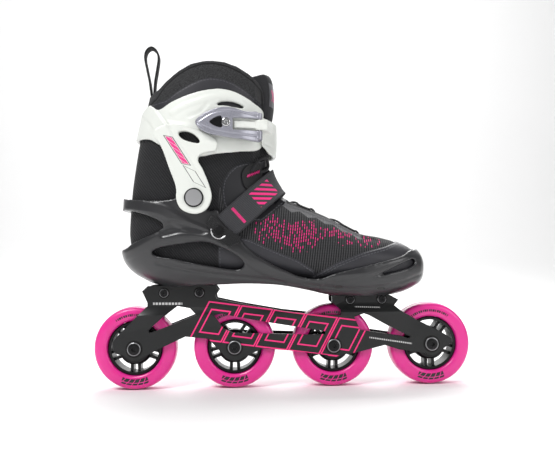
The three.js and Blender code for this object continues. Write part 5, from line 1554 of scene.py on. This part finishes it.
band = form_loft("closing_band_piece", 0.55, 0.96, BAND_OUT)
boolean(band, [side_cutter("band_front", [[-20, 233], [-16.5, 230], [-13, 226], [-8.5, 225], [20, 227],
                                             [20, 256.5], [-7, 257], [-20, 259.5]], closed_smooth=False)],
        "INTERSECT")
tail = form_loft("tail", 0.55, 0.96, BAND_OUT)
boolean(tail, [side_cutter("tail_keep", [[-56, 233], [-60, 241], [-56, 249], [-19, 253], [-19, 230]], 0, 80, False)],
        "INTERSECT")
shank = slab("shank", [(-21.5, -44.5), (-20.5, -48.5), (-14.5, -46.5), (-8.5, -25.5), (-26.5, -23.5), (-24.5, -41.5)],
             244.8, 254.6)
arm = slab("arm", [(-46, -48.8), (-46, -52.1), (-36, -51), (-24, -46.6), (-22, -43.4), (-36, -47.8)], 246.3, 253.1)
boolean(band, [tail, shank, arm, upright("knuckle", 3.2, 244.8, 254.6)], "UNION")
boolean(band, [form_loft("band_room", 0.3, 0.99, BAND_IN), upright("pin_hole", 1.8, 200, 300)])
remesh(band, 0.7, 3)
press_ribs(band, [([[-16, 252], [-8, 251], [0, 250]], 0.6, 1.2, -0.5), ([[-16, 235], [-8, 233], [0, 232]], 0.6, 1.2, -0.5)])
dress(band, WHITE)
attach(band, "cuff_body")
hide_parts("closing_band")

LEVER_OUTLINE = [[-81.5, 252], [-75.7, 257.7], [-66.5, 262.3], [-56.1, 265.1], [-46.9, 264.6], [-35.5, 261.6],
                 [-19, 260.8], [-19, 235.8], [-40.3, 235.8], [-56.4, 238], [-70.1, 241], [-78.1, 246]]
LEVER_SLOT = [[-47, 244.1], [-47, 255.3], [-18, 255.3], [-18, 244.1]]
lever_outer = smooth_path([[-84, -52], [-80, -54.5], [-62, -56], [-42, -54.8], [-28, -50], [-20, -45]], spacing=2.0)
lever_inner = lever_outer + np.column_stack([np.where(lever_outer[:, 0] > -30, -3, 0), np.full(len(lever_outer), 4.5)])
lever = slab("buckle_lever_piece", np.concatenate([lever_outer, lever_inner[::-1]]), 200, 300)
boolean(lever, [side_cutter("lever_keep", LEVER_OUTLINE, closed_smooth=True, spacing=1.0)], "INTERSECT")
boolean(lever, [upright("barrel", 3.2, 235.8, 260.8)], "UNION")
LEVER_RECESS = [[-68.5, 251.5], [-63, 255.6], [-57.5, 256.8], [-56.5, 246.2], [-63, 247.4]]
recess = side_cutter("recess", LEVER_RECESS, -60, -53.4)
boolean(lever, [side_cutter("lever_slot", LEVER_SLOT, closed_smooth=False), upright("lever_pin_hole", 1.8, 200, 300), recess,
                out(link_mesh("screw_hole", *extruded(arc(-53, 251, 2.8, 0, 360, 33)[:-1], -80, 0))),
                out(link_mesh("screw_seat", *extruded(arc(-53, 251, 4.5, 0, 360, 33)[:-1], -80, -55)))])
remesh(lever, 0.5, 4)
press_ribs(lever, [([[-79, 252], [-66, 259.5], [-50, 261.6], [-24, 258.3]], 0.3, 0.9, -0.4),
                   ([[-79, 250], [-66, 244], [-50, 240.6], [-24, 239]], 0.3, 0.9, -0.4)])
dress(lever, moulded("lever_silver", (0.30, 0.30, 0.35), 0.28, mottle=0.15, Metallic=0.35, Coat_Weight=0.5,
                     Coat_Roughness=0.15))
# Painted shade: the faces on the floor of the recess take the black bolt finish, standing in for the shade in the deep
# hollow.
lever.data.materials.append(BOLT)
lever_middle = np.array([polygon.center for polygon in lever.data.polygons]) / MM
recess_shade_faces = inside_panel(lever_middle[:, [0, 2]], LEVER_RECESS)[0] > -0.3
recess_shade_faces &= (lever_middle[:, 1] > -54.2) & (lever_middle[:, 1] < -53.0)
lever.data.polygons.foreach_set("material_index", recess_shade_faces.astype(np.int32))
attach(lever, "lever_body")
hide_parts("buckle_lever")
carried("buckle_lever_pin_piece", ["buckle_lever_pin"], CHROME, "cuff_body", 0.2)
carried("buckle_lever_screw_piece", ["buckle_lever_screw"], CHROME, "lever_body", 0.25)
carried("closing_band_rivet_piece", ["closing_band_rivet"], CHROME, "cuff_body", 0.3)


# ---------------------------------------------------------------------------------------------
# Pull loop. A loop of folded webbing sewn to the back of the collar, to pull the boot on.
LOOP_PATH = [[-128.3, 288.2], [-130.2, 303], [-132.6, 315], [-134.5, 328], [-132.6, 334.2], [-128.3, 336.9],
             [-123.8, 334.2], [-121.3, 327.7], [-122.6, 315], [-124.6, 303], [-125.8, 288.2]]
loop_line = smooth_path(LOOP_PATH, spacing=0.8)
loop_along = unit(np.gradient(loop_line, axis=0))
loop_normal = np.stack([loop_along[:, 1], -loop_along[:, 0]], -1)
loop_rows = len(loop_line)
loop_w = np.linspace(-1, 1, 21)[None, :]
loop_half = np.interp(np.arange(loop_rows), [0, 8, loop_rows - 9, loop_rows - 1], [5.2, 6.0, 6.0, 5.2])[:, None]
loop_thick = 1.0 * np.sqrt(np.clip(1 - np.abs(loop_w) ** 8, 0.05, 1)) * np.ones((loop_rows, 1))


def loop_side(sign):
    shift = loop_normal[:, None, :] * (loop_thick * sign)[..., None]
    return np.stack([loop_line[:, None, 0] + shift[..., 0], loop_half * loop_w, loop_line[:, None, 1] + shift[..., 1]], -1)


pull = sheet_solid("pull_loop_piece", loop_side(1), loop_side(-1))
pull.data.shade_smooth()
loop_u = np.tile(np.repeat(np.arange(loop_rows) * 0.8, 21), 2)
store(pull, "strap_s", loop_u)
store(pull, "strap_w", np.tile(np.tile(np.linspace(-6, 6, 21), loop_rows), 2))


def loop_material():
    """Black herringbone webbing with a seam near each edge."""
    material, n, shader = shader_material("pull_loop_webbing", Sheen_Weight=0.08, Specular_IOR_Level=0.3)
    s, w = n.attribute("strap_s"), n.attribute("strap_w")
    twill = n.step(n.math("PINGPONG", n.math("ADD", s, n.math("PINGPONG", w, 2.0)), 0.6), 0.1, 0.5)
    fuzz = n.noise(n.add("ShaderNodeTexCoord").outputs["Object"], 1300.0, 2.0)
    n.join(n.mix(twill, (0.008, 0.008, 0.009, 1), (0.03, 0.03, 0.032, 1)), shader.inputs["Base Color"])
    n.join(n.math("MULTIPLY_ADD", fuzz, 0.1, 0.82), shader.inputs["Roughness"])
    n.join(bump(n, n.math("ADD", twill, fuzz), 0.2), shader.inputs["Normal"])
    return material


dress(pull, loop_material())
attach(pull, "cuff_body")
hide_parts("pull_loop")
